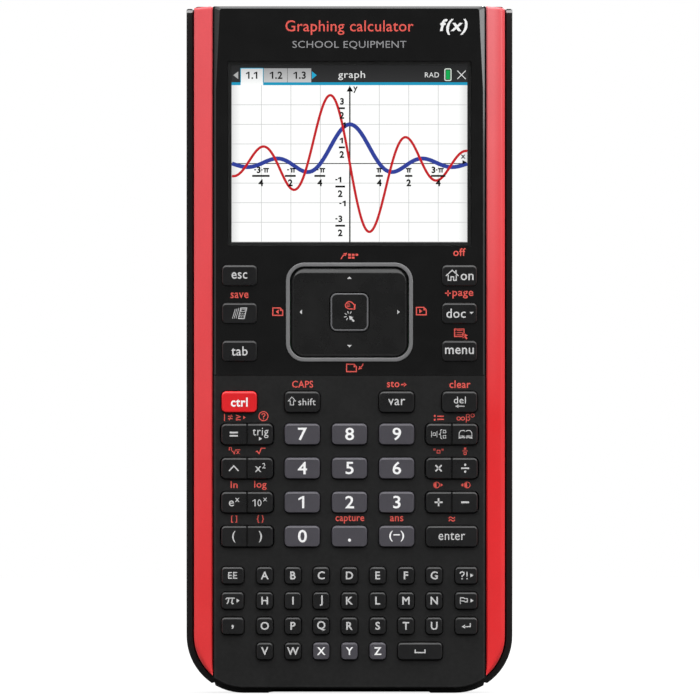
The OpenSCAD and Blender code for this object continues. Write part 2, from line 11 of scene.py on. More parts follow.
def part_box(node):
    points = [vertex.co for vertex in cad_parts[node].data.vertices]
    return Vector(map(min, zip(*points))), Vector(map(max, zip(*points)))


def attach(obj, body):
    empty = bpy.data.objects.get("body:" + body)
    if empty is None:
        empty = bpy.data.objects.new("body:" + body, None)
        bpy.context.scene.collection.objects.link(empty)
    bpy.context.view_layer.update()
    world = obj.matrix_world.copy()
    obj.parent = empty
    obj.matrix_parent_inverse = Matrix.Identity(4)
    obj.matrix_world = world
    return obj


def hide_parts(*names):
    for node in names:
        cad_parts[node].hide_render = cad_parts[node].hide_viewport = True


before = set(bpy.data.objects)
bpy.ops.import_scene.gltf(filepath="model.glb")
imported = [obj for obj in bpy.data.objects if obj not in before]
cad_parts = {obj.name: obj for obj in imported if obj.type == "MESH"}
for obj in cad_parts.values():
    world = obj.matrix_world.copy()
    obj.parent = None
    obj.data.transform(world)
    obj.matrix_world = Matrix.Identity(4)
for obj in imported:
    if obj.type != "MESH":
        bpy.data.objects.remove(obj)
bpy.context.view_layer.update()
MM = 0.001
HANDHELD = "handheld"


def span(node):
    """A CAD node's box in millimetres, as (x0, x1), (y0, y1), (z0, z1)."""
    return [(lo / MM, hi / MM) for lo, hi in zip(*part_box(node))]


def centre(node):
    x, _, z = span(node)
    return sum(x) / 2, sum(z) / 2


def solids(node):
    """Box of each separate solid of a CAD node, in millimetres, from left to right."""
    bm = bmesh.new()
    bm.from_mesh(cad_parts[node].data)
    bmesh.ops.remove_doubles(bm, verts=bm.verts, dist=1e-6)
    left, found = set(bm.verts), []
    while left:
        stack, part = [left.pop()], []
        while stack:
            v = stack.pop()
            part.append(v.co / MM)
            near = {e.other_vert(v) for e in v.link_edges} & left
            left -= near
            stack += near
        found.append([(min(p[i] for p in part), max(p[i] for p in part)) for i in range(3)])
    bm.free()
    return sorted(found)


def inset(side, d):
    """A (low, high) pair drawn in by d at both ends."""
    return side[0] + d, side[1] - d


def about(middle, half):
    return middle - half, middle + half


def linear(*rgb):
    """Screen colour, 0 to 255, as linear light; one number gives a grey."""
    rgb = rgb if len(rgb) == 3 else rgb * 3
    return tuple((c / 255 / 12.92) if c < 10.4 else ((c / 255 + 0.055) / 1.055) ** 2.4 for c in rgb)


def numbers(word):
    """Numbers of a word such as 1,2.5."""
    return tuple(float(v) for v in word.split(","))


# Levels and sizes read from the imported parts
(TRIM_IN, CASE_HALF), (FACE, SPLIT), (_, CASE_TOP) = span("side_trim_right")
CASE_FOOT = span("front_housing")[2][0]
(_, FASCIA_HALF), (_, FASCIA_BACK), (FASCIA_Z, _) = span("upper_fascia")
(_, COVER_HALF), (COVER_FRONT, COVER_BACK), (_, COVER_TOP) = span("slide_cover")
_, (REAR_Y, BACK), _ = span("rear_housing")
KEY_TOP, FLANGE_BACK = span("key_esc")[1]
PAD, RING, CLICK = span("touchpad"), span("touchpad_ring"), span("click_button")
WINDOW, PANEL = span("display_window"), span("lcd_panel")
PAD_Z, SCREEN_Z = sum(RING[2]) / 2, sum(WINDOW[2]) / 2
PLATE_BACK = FACE + 2
FACE_HALF = TRIM_IN - 0.25
# The lit picture, inside the edge of the panel
LIT_X = about(0, (PANEL[0][1] - PANEL[0][0]) / 2 - 3.2)
LIT_Z = about(SCREEN_Z, (PANEL[2][1] - PANEL[2][0]) / 2 - 3.3)
# Corner radii of the case at its foot and top, and of the keys
CASE_R, TOP_R = 13.9, 1.2
KEY_R, LETTER_R = 1.3, 1.1
# A key's flange, the gaps round keys, and how far a two-function key's signs are from its middle
FLANGE, FLANGE_T = 0.6, 0.7
GAP, ROCK_GAP = 0.1, 0.26
SIGN_X = 3.66
# Upper end of the side grooves that hold the lips of the cover
LIPS_TOP = 91.4


# Materials: each is built from nodes, with grain, colour variation, and marked edges lightened partly as wear and
# partly as painted highlight
class Nodes:
    """Node tree of a material or of the world."""

    def __init__(self, data, out="OutputMaterial"):
        data.use_nodes = True
        self.data, self.tree = data, data.node_tree
        self.tree.nodes.clear()
        self.out = self.add(out)

    def add(self, kind, attrs=None, **inputs):
        node = self.tree.nodes.new("ShaderNode" + kind)
        for key, value in (attrs or {}).items():
            setattr(node, key, value)
        for key, value in inputs.items():
            self.put(node.inputs[key.replace("_", " ")], value)
        return node

    def put(self, socket, value):
        if isinstance(value, bpy.types.NodeSocket):
            self.tree.links.new(value, socket)
        elif isinstance(value, (tuple, list)) and len(value) == 3 and len(socket.default_value) == 4:
            socket.default_value = (*value, 1)
        else:
            socket.default_value = value

    def join(self, node, first, *values):
        """Feeds a node's inputs in order, from the first one given."""
        for i, value in enumerate(values):
            self.put(node.inputs[first + i], value)
        return node

    def where(self):
        return self.add("TexCoord").outputs["Object"]

    def noise(self, where, scale, detail=2.0, rough=0.55):
        return self.add("TexNoise", Vector=where, Scale=scale, Detail=detail, Roughness=rough).outputs["Fac"]

    def spread(self, value, low, high, start=0.3, end=0.7):
        node = self.add("MapRange", {"clamp": True}, Value=value)
        return self.join(node, 1, start, end, low, high).outputs["Result"]

    def calc(self, operation, *values, **attrs):
        return self.join(self.add("Math", {"operation": operation, **attrs}), 0, *values).outputs["Value"]

    def blend(self, factor, a, b):
        node = self.join(self.add("Mix", {"data_type": "RGBA"}), 0, factor)
        return self.join(node, 6, a, b).outputs[2]

    def mixed(self, factor, a, b):
        return self.join(self.add("MixShader", Fac=factor), 1, a, b).outputs["Shader"]

    def done(self, shader):
        self.put(self.out.inputs["Surface"], shader)
        return self.data


def plastic(name, rgb, rough, grain=0.2, depth=0.012, vary=0.12, edge=0.0, coat=0.0, metal=0.0, fade=None,
            inner=None, ink=False, spec=0.5):
    """Moulded or painted surface. grain and depth are in mm; edge lightens marked edges, partly as wear and partly
    as painted highlight; fade is a second colour towards the top end of the calculator, a painted
    highlight, and inner a third one there on the side of the fascia, a stronger painted highlight; ink takes the
    colour from the mesh."""
    m = Nodes(bpy.data.materials.new(name))
    where = m.where()
    fine = m.noise(where, 1000 / grain, 3, 0.7)
    colour = m.add("VertexColor", {"layer_name": "ink"}).outputs["Color"] if ink else rgb
    # Painted highlight: the colour turns lighter towards the top end, and with inner lighter still on the side towards
    # the fascia
    if fade:
        along = m.add("SeparateXYZ", Vector=where)
        if inner:
            across = m.spread(along.outputs["X"], 1, 0, (TRIM_IN + 2) * MM, (CASE_HALF - 0.5) * MM)
            fade = m.blend(across, fade, inner)
        colour = m.blend(m.spread(along.outputs["Z"], 0, 1, 0.075 if inner else 0.03, 0.19), rgb, fade)
    for fac in (m.noise(where, 45, 3), fine):
        colour = m.add("HueSaturation", Color=colour, Value=m.spread(fac, 1 - vary, 1 + vary)).outputs["Color"]
    # Lightens the marked edges: partly wear, partly painted highlight on chamfers and painted light on shaded parts
    if edge:
        mark = m.add("Attribute", {"attribute_name": "edge"}).outputs["Fac"]
        wear_and_painted_light = m.calc("MULTIPLY", mark, m.spread(m.noise(where, 900, 3), edge * 0.5, edge))
        colour = m.blend(wear_and_painted_light, colour, tuple(min(1.0, 3 * max(c, 0.03)) for c in rgb))
    bump = m.add("Bump", Strength=1.0, Distance=depth * MM, Height=fine).outputs["Normal"]
    shader = m.add("BsdfPrincipled", Base_Color=colour, Metallic=metal, Normal=bump, Coat_Weight=coat,
                   Roughness=m.spread(m.noise(where, 160, 4), rough - 0.05, rough + 0.05),
                   Coat_Roughness=0.08, Specular_IOR_Level=spec)
    return m.done(shader.outputs["BSDF"])


def display_pixels():
    """The lit picture: mesh colours, with the faint grid of the panel's picture elements."""
    m = Nodes(bpy.data.materials.new("screen_pixels"))
    along = m.add("SeparateXYZ", Vector=m.where())
    pitch = (LIT_X[1] - LIT_X[0]) / 320 * MM
    grid = [m.spread(m.calc("SINE", m.calc("MULTIPLY", along.outputs[axis], math.tau / pitch)), 0.97, 1.0, -1, 0)
            for axis in "XZ"]
    lit = m.calc("MULTIPLY", m.calc("MULTIPLY", *grid), 1.12)
    colour = m.add("VertexColor", {"layer_name": "ink"}).outputs["Color"]
    return m.done(m.add("Emission", Color=colour, Strength=lit).outputs["Emission"])


def clear_window():
    """Clear window: see-through, with a faint reflection broken by fine smears."""
    m = Nodes(bpy.data.materials.new("clear_window"))
    outer = m.calc("SUBTRACT", m.add("Fresnel", IOR=1.45).outputs["Fac"],
                   m.add("NewGeometry").outputs["Backfacing"], use_clamp=True)
    through = m.add("BsdfTransparent", Color=(0.98, 0.985, 0.98)).outputs["BSDF"]
    rough = m.spread(m.noise(m.where(), 60, 4), 0.02, 0.08)
    shine = m.add("BsdfAnisotropic", Color=(1, 1, 1), Roughness=rough).outputs["BSDF"]
    return m.done(m.mixed(outer, through, shine))


# Each row: name, colour, roughness, grain and depth in mm, then what differs from plastic()'s own values
# The light grey cover-tip finish stands in for a painted glint on the tips of the cover's walls; the two red trim rows
# carry painted highlights
PLASTICS = """
case_black 20 .5 .22 .014 edge=.25 spec=.25
case_tip 110 .15 .22 .004 coat=1
face_black 12 .5 .22 .012 edge=.3 spec=.3
fascia_gloss 7 .2 .4 .002 edge=.2 coat=.8
trim_red 232,53,56 .36 .3 .006 vary=.03 fade=243,94,100 coat=.15
trim_red_lit 235,42,46 .36 .3 .006 vary=.03 fade=240,80,87 inner=249,128,133 coat=.15
key_black 16,16,17 .3 .25 .004 edge=.25
key_grey 69,67,73 .4 .25 .006 edge=.25
key_red 227,27,34 .34 .25 .005 vary=.05 edge=.15
ring_grey 124,124,125 .4 .15 .004 metal=.1
pad_black 21 .28 .2 .003 edge=.2 spec=.6
outline_grey 112,112,114 .35 .15 .003 metal=.3
print_ink 255 .5 .1 .004 vary=.04 ink=1
gasket_foam 22 .9 .35 .12 vary=.3
mat_silicone 120,126,134 .6 .5 .01 vary=.08
pill_carbon 20 .7 .2 .02 vary=.3
pressed_steel 190,190,194 .34 .3 .004 metal=1
blackened_steel 92,92,95 .36 .2 .006 metal=1 vary=.2
solder_mask 18,92,48 .35 1.2 .01 vary=.25 coat=.3
flex_film 205,128,40 .3 .6 .004 vary=.1 coat=.3
contact_block 52,50,46 .45 .3 .01 vary=.2
battery_wrap 92,110,148 .4 2.5 .05 metal=.4 vary=.1
wire_sleeve 190,34,30 .45 .4 .01 vary=.1
pivot_plastic 86,86,88 .5 .3 .01
"""
M = {"screen_pixels": display_pixels(), "clear_window": clear_window()}
for row in PLASTICS.strip().splitlines():
    name, rgb, *words = row.split()
    extra = {key: linear(*numbers(value)) if key in ("fade", "inner") else float(value)
             for key, value in (word.split("=") for word in words[3:])}
    M[name] = plastic(name, linear(*numbers(rgb)), *map(float, words[:3]), **extra)


# Outlines: loops of (x, z) points that keep their count when they are drawn in
def arc(x, z, r, start, turn, steps):
    return [(x + r * math.cos(a), z + r * math.sin(a))
            for a in (math.radians(start + turn * i / steps) for i in range(steps + 1))]


def rounded(x, z, radii, d=0.0, steps=6, keep=(1, 1, 1)):
    """Rounded rectangle between x[0]..x[1] and z[0]..z[1], drawn in by d. radii go round from the upper
    right; keep scales the inset of the left, right and lower sides."""
    x0, x1, z0, z1 = x[0] + d * keep[0], x[1] - d * keep[1], z[0] + d * keep[2], z[1] - d
    r = [max(v - d, 0.08) for v in (radii if isinstance(radii, tuple) else (radii,) * 4)]
    places = ((x1 - r[0], z1 - r[0]), (x0 + r[1], z1 - r[1]), (x0 + r[2], z0 + r[2]), (x1 - r[3], z0 + r[3]))
    return [p for i, at in enumerate(places) for p in arc(*at, r[i], 90 * i, 90, steps)]


def case_loop(d=0.0):
    return rounded((-CASE_HALF, CASE_HALF), (CASE_FOOT, CASE_TOP), (TOP_R, TOP_R, CASE_R, CASE_R), d, 10)


def hole(x, z, r, d, steps=5):
    """Opening: grows when the plate round it is drawn in."""
    return rounded(inset(x, -d), inset(z, -d), r + d, 0, steps)


def closed_mesh(name, points, faces):
    """Mesh of points in millimetres, with its faces turned outwards."""
    mesh = bpy.data.meshes.new(name)
    mesh.from_pydata([tuple(c * MM for c in p) for p in points], [], faces)
    bm = bmesh.new()
    bm.from_mesh(mesh)
    bmesh.ops.recalc_face_normals(bm, faces=bm.faces)
    bm.to_mesh(mesh)
    bm.free()
    return mesh


def link(name, data):
    obj = bpy.data.objects.new(name, data)
    bpy.context.scene.collection.objects.link(obj)
    return obj


def place(name, mesh, materials, body, replaces=()):
    for material in materials:
        mesh.materials.append(M[material])
    obj = link(name, mesh)
    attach(obj, body)
    if replaces:
        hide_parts(*replaces)
    return obj


class Shell:
    """Closed mesh in millimetres: X to the right, Z up, the face towards -Y."""

    def __init__(self):
        self.points, self.faces, self.smooth, self.slots, self.edge = [], [], [], [], []

    def ring(self, loop, y, edge=0.0):
        """Adds a loop of (x, z) or (x, z, y) points; edge marks how much its colour is lightened, partly as wear and
        partly as painted light.
        """
        start = len(self.points)
        self.points += [(p[0], p[2] if len(p) > 2 else y, p[1]) for p in loop]
        self.edge += [edge] * len(loop)
        return list(range(start, len(self.points)))

    def face(self, ids, slot=0, smooth=True):
        self.faces.append(tuple(ids))
        self.slots.append(slot)
        self.smooth.append(smooth)

    def bridge(self, a, b, slot=0, closed=True, smooth=True):
        for i in range(len(a) if closed else len(a) - 1):
            j = (i + 1) % len(a)
            self.face((a[i], a[j], b[j], b[i]), slot, smooth)

    def cap(self, rings, slot=0, axes=(0, 2)):
        """Fills the first ring and leaves the others open; axes are the two that it spreads along."""
        flat = [i for r in rings for i in r]
        loops = [[Vector((*(self.points[i][a] for a in axes), 0)) for i in r] for r in rings]
        for tri in tessellate_polygon(loops):
            self.face([flat[k] for k in tri], slot, False)

    def stack(self, loops_at, levels, slot=0, slots=None, axes=(0, 2), flat=()):
        """Loops at each (inset, y, edge), joined from the first level to the last, and filled at both ends.
        slots gives each band's material; flat lists the levels whose outer band is flat shaded."""
        first = last = None
        for n, (at, y, *edge) in enumerate(levels):
            rings = [self.ring(loop, y, *edge) for loop in loops_at(at)]
            for i, (a, b) in enumerate(zip(last or [], rings)):
                self.bridge(a, b, slots[n - 1] if slots else slot, smooth=i > 0 or n not in flat)
            first, last = first or rings, rings
        self.cap(first, slot, axes)
        self.cap(last, slot, axes)

    def piece(self, name, materials, body, node, slot, sharp=38):
        mesh = closed_mesh(name, self.points, self.faces)
        mesh.attributes.new("edge", "FLOAT", "POINT").data.foreach_set("value", self.edge)
        mesh.polygons.foreach_set("material_index", self.slots)
        mesh.polygons.foreach_set("use_smooth", self.smooth)
        mesh.set_sharp_from_angle(angle=math.radians(sharp))
        mesh.polygons.foreach_set("use_smooth", self.smooth)
        return place(name, mesh, materials, body, [node])


# Printed signs and the lit picture: thin raised shapes, with their colour held in the mesh
GLYPHS = {}
WHITE, SIGN, RED = linear(252), linear(206), linear(238, 92, 82)
INK_T = 0.03


def glyphs(text, size, bold, shear, spacing):
    """Points (u, v, w) and faces of a text, flat, with w across its thickness from 0 to 1."""
    key = (text, size, bold, shear, spacing)
    if key not in GLYPHS:
        curve = bpy.data.curves.new("glyphs", "FONT")
        curve.body, curve.size, curve.shear = text, size, shear
        curve.bevel_depth, curve.bevel_resolution = bold, 0
        curve.space_character, curve.resolution_u, curve.extrude = spacing, 3, 0.5
        obj = link("glyphs", curve)
        bm = bmesh.new()
        bm.from_mesh(obj.to_mesh())
        bmesh.ops.remove_doubles(bm, verts=bm.verts, dist=1e-4)
        bm.verts.index_update()
        deep = 1 + 2 * bold
        points = [(v.co.x, v.co.y, v.co.z / deep + 0.5) for v in bm.verts]
        GLYPHS[key] = points, [tuple(v.index for v in f.verts) for f in bm.faces]
        bm.free()
        obj.to_mesh_clear()
        bpy.data.objects.remove(obj)
        bpy.data.curves.remove(curve)
    return GLYPHS[key]


class Ink:
    """Thin shapes at the height y, in one mesh; x and z are measured from the point given to draw()."""

    def __init__(self, y, colour=SIGN, thick=INK_T):
        self.y, self.thick, self.colour = y, thick, colour
        self.x = self.z = self.rise = 0.0
        self.side = 1
        self.points, self.faces, self.colours = [], [], []

    def use(self, colour, rise=None):
        """Sets the colour, or a function of x and z that gives it, and how far above the first layer."""
        self.colour, self.rise = colour, self.rise if rise is None else rise
        return self

    def put(self, points, faces):
        """points are (x, z, w), with w 0 at the surface and 1 at the top of the ink."""
        start = len(self.points)
        for u, v, w in points:
            x, z = self.x + self.side * u, self.z + v
            self.points.append((x, self.y - w * (self.thick + self.rise), z))
            self.colours.append(self.colour(x, z) if callable(self.colour) else self.colour)
        self.faces += [tuple(start + i for i in f) for f in faces]

    def text(self, body, x, z, size, bold=0.03, fit=0, spacing=1.0, wide=1.0, shear=0.0):
        """Text centred on (x, z); fit stretches it to a width in mm."""
        points, faces = glyphs(body, size, bold, shear, spacing)
        us, vs = [p[0] for p in points], [p[1] for p in points]
        u0, v0 = (min(us) + max(us)) / 2, (min(vs) + max(vs)) / 2
        wide = fit / (max(us) - min(us)) if fit else wide
        self.put([(x + (u - u0) * wide, z + v - v0, w) for u, v, w in points], faces)

    def one(self, x, z, h, stroke):
        """Figure 1 with a flag."""
        s, top = stroke / 2, z + h / 2
        flag, drop = x - s - 0.3 * h, top - 0.2 * h
        self.poly([(x - s, z - h / 2), (x + s, z - h / 2), (x + s, top), (x - s * 0.4, top),
                   (flag, drop), (flag, drop - stroke * 0.9), (x - s, top - 0.02 * h - stroke)])

    def poly(self, outline, holes=()):
        loops = [list(outline)] + [list(h) for h in holes]
        flat = [p for loop in loops for p in loop]
        n, start = len(flat), 0
        tris = tessellate_polygon([[Vector((*p, 0)) for p in loop] for loop in loops])
        faces = [tuple(t) for t in tris] + [tuple(i + n for i in t) for t in tris]
        for k in map(len, loops):
            faces += [(start + i, start + (i + 1) % k, start + (i + 1) % k + n, start + i + n) for i in range(k)]
            start += k
        self.put([(*p, w) for w in (0, 1) for p in flat], faces)

    def line(self, path, width, closed=False):
        """Line of even width along a path, with mitred corners."""
        path, n, left, right = [Vector(p) for p in path], len(path), [], []
        ways = [(b - a).normalized() for a, b in zip(path, path[1:] + path[:1])]
        for i, p in enumerate(path):
            near = ways[i - 1:i] or ways[-1:]
            near = near * (closed or i > 0) + [ways[i]] * (closed or i < n - 1)
            mean = sum(near, Vector((0, 0))).normalized()
            side = Vector((-mean.y, mean.x)) * (width / 2 / max(mean.dot(near[0]), 0.5))
            left.append(tuple(p + side))
            right.append(tuple(p - side))
        if closed:
            around = [(0, n), (n, 3 * n), (3 * n, 2 * n), (2 * n, 0)]
            self.put([(*p, w) for w in (0, 1) for p in left + right],
                     [(a + i, a + (i + 1) % n, b + (i + 1) % n, b + i) for a, b in around for i in range(n)])
        else:
            self.poly(left + right[::-1])

    def ribbon(self, path, width):
        """Smooth strip along a curve, built from short quads."""
        n, w = len(path), width / 2
        points = []
        for i, (x, z) in enumerate(path):
            d = (Vector(path[min(i + 1, n - 1)]) - Vector(path[max(i - 1, 0)])).normalized() * w
            points += [(x - s * d.y, z + s * d.x, h) for h in (0, 1) for s in (1, -1)]
        faces = [(a + i, a + j, a + j + 4, a + i + 4) for a in range(0, 4 * n - 4, 4)
                 for i, j in ((0, 1), (1, 3), (3, 2), (2, 0))]
        self.put(points, faces + [(0, 1, 3, 2), (4 * n - 4, 4 * n - 2, 4 * n - 1, 4 * n - 3)])

    def box(self, x0, z0, x1, z1):
        self.poly([(x0, z0), (x1, z0), (x1, z1), (x0, z1)])

    def disc(self, x, z, r, steps=20, start=0, turn=360):
        steps = int(steps)
        self.poly(arc(x, z, r, start, turn, steps)[:steps if turn == 360 else steps + 1])

    def circle(self, x, z, r, width):
        self.line(arc(x, z, r, 0, 360, 24)[:24], width, closed=True)

    def tip(self, x, z, way, w, h):
        """Solid triangle pointing right, up, left or down (way 0 to 3); w across its base, h tall."""
        c, s = math.cos(math.pi / 2 * way), math.sin(math.pi / 2 * way)
        self.poly([(x + u * c - v * s, z + u * s + v * c) for u, v in ((h / 2, 0), (-h / 2, w / 2), (-h / 2, -w / 2))])

    def query(self, x, z, size):
        """Question mark."""
        hook = [(-0.42, 0.32), (-0.3, 0.62), (0.02, 0.72), (0.36, 0.6), (0.44, 0.3), (0.3, 0.05), (0.02, -0.12),
                (0, -0.42)]
        self.line([(x + u * size, z + v * size) for u, v in hook], 0.24 * size)
        self.disc(x, z - 0.75 * size, 0.16 * size, 10)

    def sweep(self, points, width):
        """Curved arrow along three points, with its head at the last."""
        a, b, c = (Vector(p) for p in points)
        run = [a * (1 - t) ** 2 + b * (2 * t * (1 - t)) + c * t * t for t in (i / 8 for i in range(9))]
        self.line(run, width)
        way = (run[-1] - run[-3]).normalized()
        side = Vector((-way.y, way.x)) * 0.5
        self.poly([c + way * 0.7, c + side - way * 0.25, c - side - way * 0.25])

    def draw(self, marks, x=0.0, z=0.0, side=1):
        """Draws marks about (x, z); side -1 mirrors them. Marks are parted by semicolons, and each is its
        kind, its sizes and its points as x,z. A text comes last, after a quote, with _ for a space. The marks
        rgb and rise work as use() does."""
        self.x, self.z, self.side = x, z, side
        single = {"disc": self.disc, "ring": self.circle, "tip": self.tip, "one": self.one, "query": self.query}
        for mark in marks.split(";") if marks else ():
            kind, *words = mark.split()
            body = words.pop()[1:].replace("_", " ") if kind == "text" else ""
            points = [numbers(word) for word in words if "," in word]
            sizes = [float(word) for word in words if "," not in word]
            if kind == "rgb":
                self.colour = linear(*(points[0] if points else sizes))
            elif kind == "rise":
                self.rise = sizes[0]
            elif kind == "text":
                self.text(body, *points[0], *sizes)
            elif kind in ("line", "loop"):
                self.line(points, *sizes, closed=kind == "loop")
            elif kind == "sweep":
                self.sweep(points, *sizes)
            elif kind == "fill":
                self.poly(points)
            elif kind == "box":
                for low, high in zip(points[::2], points[1::2]):
                    self.box(*low, *high)
            else:
                for p in points:
                    single[kind](*p, *sizes)
        self.x, self.z, self.side = 0.0, 0.0, 1

    def piece(self, name, body, material="print_ink"):
        mesh = closed_mesh(name, self.points, self.faces)
        layer = mesh.color_attributes.new("ink", "FLOAT_COLOR", "POINT")
        layer.data.foreach_set("color", [c for rgb in self.colours for c in (*rgb, 1.0)])
        return place(name, mesh, [material], body)


# Case
SIDE_KEYS = ["key_esc", "key_notes", "key_tab", "key_on", "key_doc", "key_menu"]
ROCKERS = ["key_equals_trig", "key_power_square", "key_exponents", "key_brackets", "key_template_catalog",
           "key_times_divide", "key_plus_minus"]
LETTER_ROWS = [f"letter_row_{i}" for i in range(1, 5)]
KEYS = sorted(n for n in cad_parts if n.startswith("key_"))
LOWER_KEYS = [n for n in KEYS if n not in SIDE_KEYS] + LETTER_ROWS


def key_holes(names):
    """Openings round the keys of the given nodes, as (x, z, radius)."""
    found = []
    for name in names:
        r = GAP + (LETTER_R if name.startswith("letter") else KEY_R)
        side = -ROCK_GAP if name in ROCKERS else FLANGE - GAP
        found += [(inset(x, side), inset(z, FLANGE - GAP), r) for x, _, z in solids(name)]
    return found


def face_outline(top, d=0, lip=0):
    """Face between the side trims, from the bottom end up to a given height, drawn in by d. lip moves the
    bottom end outwards."""
    half, r, x = FACE_HALF - d, CASE_R + lip - d, CASE_HALF - CASE_R
    end = math.degrees(math.acos((half - x) / r))
    right = arc(x, CASE_FOOT + CASE_R, r, -90, 90 - end, 10)
    return [(-x, z) for x, z in reversed(right)] + right + [(half, top - d), (-half, top - d)]


def build_front_housing():
    """Matte lower face with a rounded edge, the plate under the fascia, and the walls behind them."""
    shell = Shell()
    holes = key_holes(LOWER_KEYS)
    seam, foot_lip, wall = FASCIA_Z - 0.05, 0.38, 1.5
    openings = [(inset(WINDOW[0], 0.5), inset(WINDOW[2], 0.5), 0.4),
                (inset(RING[0], 0.75), inset(RING[2], 0.75), 4.35)] + key_holes(SIDE_KEYS)

    def face_loops(d):
        return [face_outline(seam + d, d, foot_lip)] + [hole(*at, min(d, 0.12), 4) for at in holes]

    # Rounded edge of the face: inset, height and edge lightening; the lightening along the edge is a painted
    # highlight, with some wear
    edge = [(0.8, 0, 0.3), (0.5, 0.015, 1.0), (0.3, 0.06, 1.0), (0.12, 0.2, 0.3), (0.03, 0.4, 0.3), (0, 0.7, 0.3)]
    shell.stack(face_loops, [(d, FACE + y, mark) for d, y, mark in edge] + [(0, PLATE_BACK)])

    def upper_loops(d):
        return [rounded((-FACE_HALF, FACE_HALF), (seam, CASE_TOP), 0.3, d)] + [hole(*at, d) for at in openings]

    shell.stack(upper_loops, [(0, FASCIA_BACK + 0.05), (0, PLATE_BACK)])
    shell.stack(lambda d: [case_loop(wall), case_loop(wall + 1.5)], [(0, FACE + 1.3), (0, SPLIT)])
    shell.stack(lambda d: [face_outline(20.0), face_outline(22.9, 3.0)], [(0, PLATE_BACK), (0, SPLIT)])
    shell.piece("face_lower", ["face_black"], HANDHELD, "front_housing", "case_plastic")


def build_fascia():
    """Glossy fascia: the side bevels are wide at the top end and narrow below it."""
    shell = Shell()
    turn_z = CASE_TOP - 23.0
    openings = [(inset(WINDOW[0], -0.1), inset(WINDOW[2], -0.1), 0.5),
                (inset(RING[0], -0.1), inset(RING[2], -0.1), 5.2)] + key_holes(SIDE_KEYS)

    def loops(level):
        side_top, side_low, up, down, y_top, y_low = level
        right = [(FASCIA_HALF - side_low, FASCIA_Z + down, y_low), (FASCIA_HALF - side_low, turn_z, y_low),
                 (FASCIA_HALF - side_top, CASE_TOP - up - 0.5, y_top),
                 (FASCIA_HALF - side_top - 0.5, CASE_TOP - up, y_top)]
        return [right + [(-x, z, y) for x, z, y in reversed(right)]] + [hole(*at, 0) for at in openings]

    # Each level: how far the sides, top and foot are drawn in, and the height of the top and lower parts
    # The 1.0 on the second level lightens the crease at the top of the bevels: a painted highlight, with some wear
    levels = [((1.57, 0.5, 0.66, 0.3, FACE, FACE), FACE),
              ((1.5, 0.46, 0.6, 0.2, FACE + 0.02, FACE + 0.02), FACE + 0.02, 1.0),
              ((0.1, 0.06, 0.04, 0.06, FACE + 0.55, FACE + 0.17), FACE + 0.55),
              ((0, 0, 0, 0, FASCIA_BACK, FASCIA_BACK), FASCIA_BACK)]
    shell.stack(loops, levels, flat=(2, 3))
    shell.piece("fascia_upper", ["fascia_gloss"], HANDHELD, "upper_fascia", "fascia_plastic")


def build_trims():
    """Red trims: a crowned face with a rounded outer edge, lofted along the side of the case."""
    cx, cz = CASE_HALF - CASE_R, CASE_FOOT + CASE_R
    tip = cz - math.sqrt(CASE_R ** 2 - (TRIM_IN - cx) ** 2)
    heights = [tip + 0.02 + (cz - tip) * (1 - math.cos(math.pi / 2 * i / 14)) for i in range(15)]
    heights += [cz + (CASE_TOP - 6 - cz) * i / 12 for i in range(1, 13)]
    heights += [CASE_TOP - h for h in (4.0, 2.0, 1.0, 0.6, 0.35, 0.15, 0.04, 0)]
    # Radius of the top edge, and depths below the face of the outer wall and of the back of the strip
    round_top, wall_y, back_y = 0.6, 1.4, 1.2

    def section(z):
        x0 = TRIM_IN - 0.08
        outer = CASE_HALF if z >= cz else cx + math.sqrt(max(CASE_R ** 2 - (cz - z) ** 2, 0))
        x1 = max(outer - 0.14, x0 + 0.05)
        w = x1 - x0
        past = max(0, round_top - (CASE_TOP - z))
        draw = round_top - math.sqrt(max(round_top ** 2 - past * past, 0))
        front = []
        for u in ((i / 14) ** 1.25 for i in range(15)):
            bulge = 0.16 * (2 * u - 0.9) ** 2
            roll = 0.8 * (max(0, 1 - u * w / 0.5) ** 2 + max(0, 1 - (1 - u) * w) ** 2)
            front.append((x0 + u * w, FACE + (0.05 + bulge + roll) * min(1.0, w / 3.0) + draw))
        wall = min(1.4, w * 0.6)
        shape = front + [(x1, FACE + wall_y), (x1, SPLIT), (x1 - wall, SPLIT), (x1 - wall, FACE + back_y),
                         (x0, FACE + back_y)]
        fall = 0.5 * max(0, min(1.0, (z - CASE_TOP + 6) / 6)) ** 2
        return [(x, z - fall * (x - x0) / max(w, 0.1), y) for x, y in shape]

    # Left trim: painted highlight towards its top. Right trim: a copy with a stronger painted highlight, lighter on
    # its inner side and darker on its outer side.
    for side, name, look in ((-1, "left", "trim_red"), (1, "right", "trim_red_lit")):
        shell = Shell()
        shell.stack(lambda z: [[(side * x, zz, y) for x, zz, y in section(z)]], [(z, 0) for z in heights], axes=(0, 1))
        shell.piece("trim_" + name, [look], HANDHELD, "side_trim_" + name, "trim_plastic", sharp=35)


